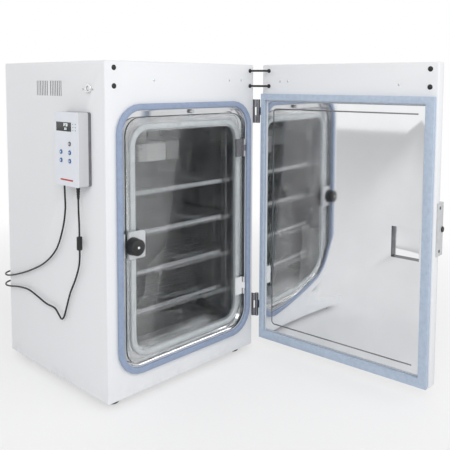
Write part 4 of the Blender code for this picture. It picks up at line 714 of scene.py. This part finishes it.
def pulled(bm, geom, along):
    """Extrudes faces along a vector and gives back what lies at the far end."""
    grown = bmesh.ops.extrude_face_region(bm, geom=geom)["geom"]
    moved = [part for part in grown if isinstance(part, bmesh.types.BMVert)]
    bmesh.ops.translate(bm, verts=moved, vec=along)
    return grown


def panel_bead():
    """The bead's section, pulled along the top, down the hinge side and back along the bottom."""
    spots = [vertex.co - DOOR_AXIS for vertex in panel.data.vertices]
    across = [spot.dot(door_across) for spot in spots]
    heights = [spot.z for spot in spots]
    front = max(spot.dot(door_inward) for spot in spots)
    near, end = min(across) + BEAD_INSET + BEAD_CORNER, max(across) - BEAD_INSET
    low, high = min(heights) + BEAD_INSET + BEAD_CORNER, max(heights) - BEAD_INSET - BEAD_CORNER
    run = bmesh.new()
    section = []
    for inset, rise in BEAD_SECTION:
        place = DOOR_AXIS + door_across * end + door_inward * (front + rise * BEAD_RISE)
        place.z = high + BEAD_CORNER - inset * BEAD_WIDTH
        section.append(run.verts.new(place))
    tip = [run.faces.new(section)]
    for height, along in ((high, door_across * (near - end)), (low, Vector((0, 0, low - high)))):
        tip = pulled(run, tip, along)
        middle = DOOR_AXIS + door_across * near + Vector((0, 0, height))
        tip = bmesh.ops.spin(run, geom=tip, cent=middle, axis=door_inward, angle=math.pi / 2,
                             steps=CORNER_STEPS)["geom_last"]
    pulled(run, tip, door_across * (end - near))
    bmesh.ops.recalc_face_normals(run, faces=run.faces)
    return run


# The bead's dark steel colour is a painted dark reflection.
finished("panel_bead", panel_bead(), painted_shade_and_reflection_steel, "outer_door")

# Rigid foam fills the door, and the walls of the cabinet round the chamber. It is poured and sets
# in place, and is pale yellow with fine closed cells.


def rigid_foam():
    foam = Finish("rigid_foam", Roughness=0.95)
    cells = foam.node("TexVoronoi", {"feature": "F1"}, {"Vector": foam.place(), "Scale": 600.0})
    foam.bump(cells, 0.0003, 0.6)
    return foam.set(Base_Color=foam.mixed(foam.spread(cells, 0.1, 0.8), colour(0.60, 0.53, 0.33),
                                          colour(0.74, 0.68, 0.48)))


foam_cells = rigid_foam()
refine("door_foam", foam_cells, edge=0)
refine("insulation_core", foam_cells, edge=0)

# Hinges are cast and plated a dark chrome. The lower hinge of the inner door has a white cover, and
# the side port's ring is bright chrome.
dark_chrome = steel("dark_chrome_plate", colour(0.20, 0.20, 0.22), colour(0.30, 0.30, 0.32), 0.16,
                    (60, 60, 200), 0.00001)
bright_chrome = steel("bright_chrome_plate", colour(0.80, 0.80, 0.81), colour(0.86, 0.86, 0.87),
                      0.07, (60, 60, 60), 0.000005)
for node in ("cabinet_hinge_lower", "cabinet_hinge_upper", "door_hinge_lower", "door_hinge_upper",
             "glass_hinge_upper"):
    refine(node, dark_chrome, edge=0.0005, smooth_angle=35)
refine("glass_hinge_lower", white_coat, edge=0.0005, smooth_angle=35)
refine("port_ring", bright_chrome, edge=0.0003)
stopper_dome = [(0, 0.0038), (0.0035, 0.0036), (0.0058, 0.0028), (0.0064, 0.0016), (0.0064, 0),
                (0, 0)]
PORT_ACROSS, PORT_HEIGHT, STOPPER_SEAT = -0.1885, 0.828, 0.0004
standing("port_stopper", stopper_dome, (LEFT - STOPPER_SEAT, PORT_ACROSS, PORT_HEIGHT), (-1, 0, 0),
         moulded("white_stopper", colour(0.78, 0.79, 0.79), colour(0.72, 0.73, 0.73), 0.5),
         "cabinet")

# The latch block and the controller are moulded in pale plastic, the knob in black. The handle is a
# grey moulding round the door's free edge with a black lock barrel in it.
pale_moulding = moulded("pale_moulding", colour(0.66, 0.68, 0.70), colour(0.60, 0.62, 0.64), 0.42)
white_moulding = moulded("white_moulding", colour(0.80, 0.81, 0.80), colour(0.74, 0.75, 0.74), 0.38)
handle_moulding = moulded("handle_moulding", colour(0.58, 0.59, 0.60), colour(0.52, 0.53, 0.54),
                          0.45)
dark_moulding = moulded("dark_grey_moulding", colour(0.15, 0.15, 0.16), colour(0.20, 0.20, 0.21),
                        0.5)
for node, look in (("latch_block", pale_moulding), ("latch_knob", black_plastic),
                   ("door_lock", black_plastic), ("door_handle", handle_moulding),
                   ("fan_housing", white_moulding),
                   ("fan_impeller", black_plastic), ("mains_inlet", black_plastic),
                   ("controller_back", dark_moulding)):
    refine(node, look, edge=0.0006)
KNOB_ACROSS, KNOB_REACH, KNOB_HEIGHT = -0.2045, 0.0340, 0.412
standing("knob_centre", [(0, 0.0008), (0.0030, 0.0008), (0.0036, 0.0003), (0.0036, 0), (0, 0)],
         (KNOB_ACROSS, FRONT - KNOB_REACH, KNOB_HEIGHT), (0, -1, 0), bright_chrome, "latch_knob")
for foot in ("front_left", "front_right", "rear_left", "rear_right"):
    refine("foot_" + foot, black_rubber, edge=0.0006)

# The bay behind the chamber holds the electronics: a folded supply box, the fan's motor, a green
# board and a block of brass gas valves.
box_metal = steel("folded_box_metal", colour(0.60, 0.61, 0.63), colour(0.68, 0.69, 0.70), 0.36,
                  (300, 20, 300), 0.00002)
valve_brass = steel("valve_brass", colour(0.62, 0.45, 0.18), colour(0.74, 0.56, 0.26), 0.28,
                    (200, 200, 60), 0.00002)
board_green = moulded("board_green", colour(0.02, 0.16, 0.06), colour(0.03, 0.22, 0.09), 0.4, 0.002)
refine("power_supply", box_metal, edge=0.0006)
refine("fan_motor", box_metal, edge=0.0006)
refine("gas_valve_block", valve_brass, edge=0.0005)
refine("control_board", board_green, edge=0.0001)

# The controller's pale cover has a white face plate printed on its front. A dark window holds the
# readings, six small lamps stand beside it, and a plain red stripe runs under the keys.
COVER_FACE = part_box("controller_cover")[0][0]
cover_look = Finish("controller_cover_moulding", IOR=1.46)
face_side = cover_look.spread(cover_look.axes()[0], COVER_FACE + 0.0012, COVER_FACE + 0.0006)
cover_skin = cover_look.grain(0.0009, 2.0)
cover_look.bump(cover_skin, 0.00006, 0.3)
cover_look.set(Base_Color=cover_look.mixed(face_side, colour(0.60, 0.61, 0.63),
                                           colour(0.79, 0.82, 0.87)),
               Roughness=cover_look.spread(cover_skin, 0.3, 0.7, 0.36, 0.48))
refine("controller_cover", cover_look.material, edge=0.0006)

window = Finish("display_window", IOR=1.5, Coat_Weight=0.5)
window_dust = window.spread(window.grain(0.004, 3.0), 0.5, 0.8)
refine("controller_display", window.set(
    Base_Color=window.mixed(window_dust, colour(0.004, 0.005, 0.007), colour(0.02, 0.022, 0.025)),
    Roughness=0.08 + window_dust * 0.12), edge=0.0002)

digit_light = Finish("digit_light", Base_Color=colour(0.9, 0.95, 0.95), Emission_Strength=0.9)
digit_haze = digit_light.grain(0.001, 2.0)
digit_light.set(Emission_Color=digit_light.mixed(digit_haze, colour(0.75, 0.90, 0.95),
                                                 colour(0.95, 1, 1)))
facing_left = Matrix(((0, 0, -1, 0), (-1, 0, 0, 0), (0, 1, 0, 0), (0, 0, 0, 1)))
DIGITS_ACROSS, DIGIT_THICK, DIGIT_PROUD = -0.1375, 0.0001, 0.00015
DISPLAY_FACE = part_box("controller_display")[0][0]
for name, words, size, height in (("temperature", "37.0", 0.0115, 0.7330),
                                  ("gas", "5.0", 0.0085, 0.7225)):
    letters = bpy.data.curves.new(name + "_digits", "FONT")
    letters.body = words
    letters.size = size
    letters.align_x = "CENTER"
    letters.align_y = "CENTER"
    letters.extrude = DIGIT_THICK
    shape = bpy.data.objects.new(name + "_digits", letters)
    bpy.context.scene.collection.objects.link(shape)
    digits = bmesh.new()
    digits.from_mesh(bpy.data.meshes.new_from_object(shape))
    bpy.data.objects.remove(shape)
    seat = Matrix.Translation((DISPLAY_FACE - DIGIT_PROUD, DIGITS_ACROSS, height))
    bmesh.ops.transform(digits, matrix=seat @ facing_left, verts=digits.verts)
    finished("readings_" + name, digits, digit_light.material, "cabinet")

lamp_look = moulded("lamp_lens", colour(0.06, 0.38, 0.36), colour(0.10, 0.46, 0.44), 0.2)
grey_lamp = moulded("unlit_lamp_lens", colour(0.30, 0.32, 0.33), colour(0.36, 0.38, 0.39), 0.2)
lamp_dome = [(0, 0.0009), (0.0010, 0.0008), (0.0016, 0.0004), (0.0016, 0), (0, 0)]
LAMPS_FROM, LAMPS_ABOVE = FRONT + 0.074, 0.720
LAMP_STEP_BACK, LAMP_STEP_UP = 0.011, 0.008
for row in range(3):
    for column in range(2):
        place = (COVER_FACE, LAMPS_FROM + LAMP_STEP_BACK * column, LAMPS_ABOVE + LAMP_STEP_UP * row)
        look = lamp_look if (row + column) % 2 else grey_lamp
        standing(f"lamp_{row}_{column}", lamp_dome, place, (-1, 0, 0), look, "cabinet")

red_ink = moulded("red_ink", colour(0.55, 0.03, 0.03), colour(0.48, 0.03, 0.03), 0.4)
STRIPE_MIDDLE = Vector((COVER_FACE - 0.0001, FRONT + 0.118, 0.588))
STRIPE_HALF, STRIPE_ROUND, STRIPE_THICK = 0.030, 0.002, 0.0002
stripe = bmesh.new()
for side, end in ((-1, -1), (1, -1), (1, 1), (-1, 1)):
    stripe.verts.new(STRIPE_MIDDLE + Vector((0, side * STRIPE_HALF, end * STRIPE_ROUND)))
stripe.faces.new(list(stripe.verts))
bmesh.ops.bevel(stripe, geom=list(stripe.verts), offset=STRIPE_ROUND, offset_type="OFFSET",
                segments=6, profile=0.5, affect="VERTICES", material=-1)
bmesh.ops.remove_doubles(stripe, verts=stripe.verts, dist=MERGE_DISTANCE)
pulled(stripe, list(stripe.faces), (-STRIPE_THICK, 0, 0))
bmesh.ops.recalc_face_normals(stripe, faces=stripe.faces)
finished("red_stripe", stripe, red_ink, "cabinet")

# The keys are silicone caps with a blue ring and a pale centre, which stand in holes of the
# controller's cover and spring back when pushed. The mute key's ring is dark.
KEY_CENTRE = 0.0026


def key_cap(name, ring):
    low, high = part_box(name)
    cap = Finish(name + "_cap", IOR=1.43)
    axes = cap.axes()
    aside = axes[1] - (low[1] + high[1]) / 2
    above = axes[2] - (low[2] + high[2]) / 2
    centre = (aside * aside + above * above) < KEY_CENTRE ** 2
    skin = cap.grain(0.0008, 2.0)
    cap.bump(skin, 0.00004, 0.3)
    refine(name, cap.set(Base_Color=cap.mixed(centre, ring, colour(0.72, 0.76, 0.80)),
                         Roughness=cap.spread(skin, 0.3, 0.7, 0.42, 0.55)), edge=0.0003)


for key in ("button_up", "button_set", "button_down", "button_enter"):
    key_cap(key, colour(0.045, 0.13, 0.36))
key_cap("button_mute", colour(0.12, 0.13, 0.15))

# A dark sheet, folded in a zigzag, is put behind the vent in the left side as painted shade, so
# that the vent's slots look dark.
CLOTH_GAP, CLOTH_START, CLOTH_THICK = 0.0045, 0.203, 0.001
FOLD_DEPTH, FOLD_PITCH, FOLDS = 0.0015, 0.0029, 44
VENT_LOW, VENT_HIGH = 0.8065, 0.8475
cloth = bmesh.new()
hem = [cloth.verts.new((LEFT + CLOTH_GAP, FRONT + CLOTH_START, z)) for z in (VENT_LOW, VENT_HIGH)]
crease = cloth.edges.new(hem)
for fold in range(1, FOLDS):
    grown = bmesh.ops.extrude_edge_only(cloth, edges=[crease])["geom"]
    crease = next(part for part in grown if isinstance(part, bmesh.types.BMEdge))
    aside = FOLD_DEPTH if fold % 2 else -FOLD_DEPTH
    bmesh.ops.translate(cloth, verts=list(crease.verts), vec=(aside, FOLD_PITCH, 0))
pulled(cloth, list(cloth.faces), (CLOTH_THICK, 0, 0))
bmesh.ops.recalc_face_normals(cloth, faces=cloth.faces)
# The sheet's near-black colour is painted shade behind the vent's slots.
painted_shade_cloth = moulded("painted_shade_cloth", colour(0.05, 0.05, 0.055), colour(0.09, 0.09, 0.10), 0.9,
                       0.002)
finished("vent_shade_sheet", cloth, painted_shade_cloth, "cabinet")

# The floor is plain and almost white, takes the object's soft shadow, and fades into the white
# behind it.
FLOOR_HALF = 9.0
FLOOR_LEVEL = -0.0221
FADE_START, FADE_END = 0.7, 2.2
floor_mesh = bmesh.new()
bmesh.ops.create_grid(floor_mesh, x_segments=1, y_segments=1, size=FLOOR_HALF)
bmesh.ops.translate(floor_mesh, verts=floor_mesh.verts, vec=(0, 0, FLOOR_LEVEL))
floor_data = bpy.data.meshes.new("studio_floor")
floor_mesh.to_mesh(floor_data)
floor_mesh.free()
floor_finish = Finish("studio_floor_paint", Base_Color=colour(0.88, 0.88, 0.89), Roughness=0.9)
seen = floor_finish.node("LightPath", {}, {}, "Is Camera Ray")
glow = floor_finish.node("Emission", {}, {"Color": colour(1, 1, 1), "Strength": 1.0})
plain = Link(floor_finish, floor_finish.shader.outputs[0])
floor_axes = floor_finish.axes()
reach = floor_axes[0] * floor_axes[0] + floor_axes[1] * floor_axes[1]
fade = floor_finish.spread(reach, FADE_START ** 2, FADE_END ** 2, 0.5, 1.0)
floor_look = floor_finish.node("MixShader", {}, {0: seen * fade, 1: plain, 2: glow})
floor_finish.feed(floor_finish.nodes["Material Output"].inputs["Surface"], floor_look)
floor_data.materials.append(floor_finish.material)
studio_floor = bpy.data.objects.new("studio_floor", floor_data)
bpy.context.scene.collection.objects.link(studio_floor)

# The world is plain white where the camera, glass or polished steel sees it, and gives less light
# than that. Two wide soft boxes stand in front of the object, one on each side.
WORLD_LIGHT = 0.62


class WorldFinish(Finish):
    """The world's nodes, worked out as those of a finish are."""

    def __init__(self, world):
        self.material = world
        self.nodes = world.node_tree.nodes


world = bpy.data.worlds.new("studio_world")
bpy.context.scene.world = world
world.use_nodes = True
sky = WorldFinish(world)
shown = sky.node("LightPath", {}, {}, "Is Camera Ray")
for kind in ("Is Glossy Ray", "Is Transmission Ray"):
    shown = shown.math("MAXIMUM", shown, sky.node("LightPath", {}, {}, kind))
background = sky.nodes["Background"].inputs
sky.feed(background["Color"], colour(1.0, 1.0, 1.0))
sky.feed(background["Strength"], sky.spread(shown, 0.0, 1.0, WORLD_LIGHT, 1.0))


def soft_box(name, place, target, side, power):
    lamp = bpy.data.lights.new(name, "AREA")
    lamp.shape = "SQUARE"
    lamp.size = side
    lamp.energy = power
    lamp_object = bpy.data.objects.new(name, lamp)
    bpy.context.scene.collection.objects.link(lamp_object)
    lamp_object.location = place
    aim = Vector(target) - Vector(place)
    lamp_object.rotation_euler = aim.to_track_quat("-Z", "Y").to_euler()


soft_box("key_soft_box", (-2.6, -2.8, 2.9), (0.0, -0.2, 0.4), 2.2, 66.0)
soft_box("fill_soft_box", (1.6, -3.4, 1.7), (0.1, -0.2, 0.4), 2.0, 20.0)

bpy.context.scene.view_settings.view_transform = "Standard"
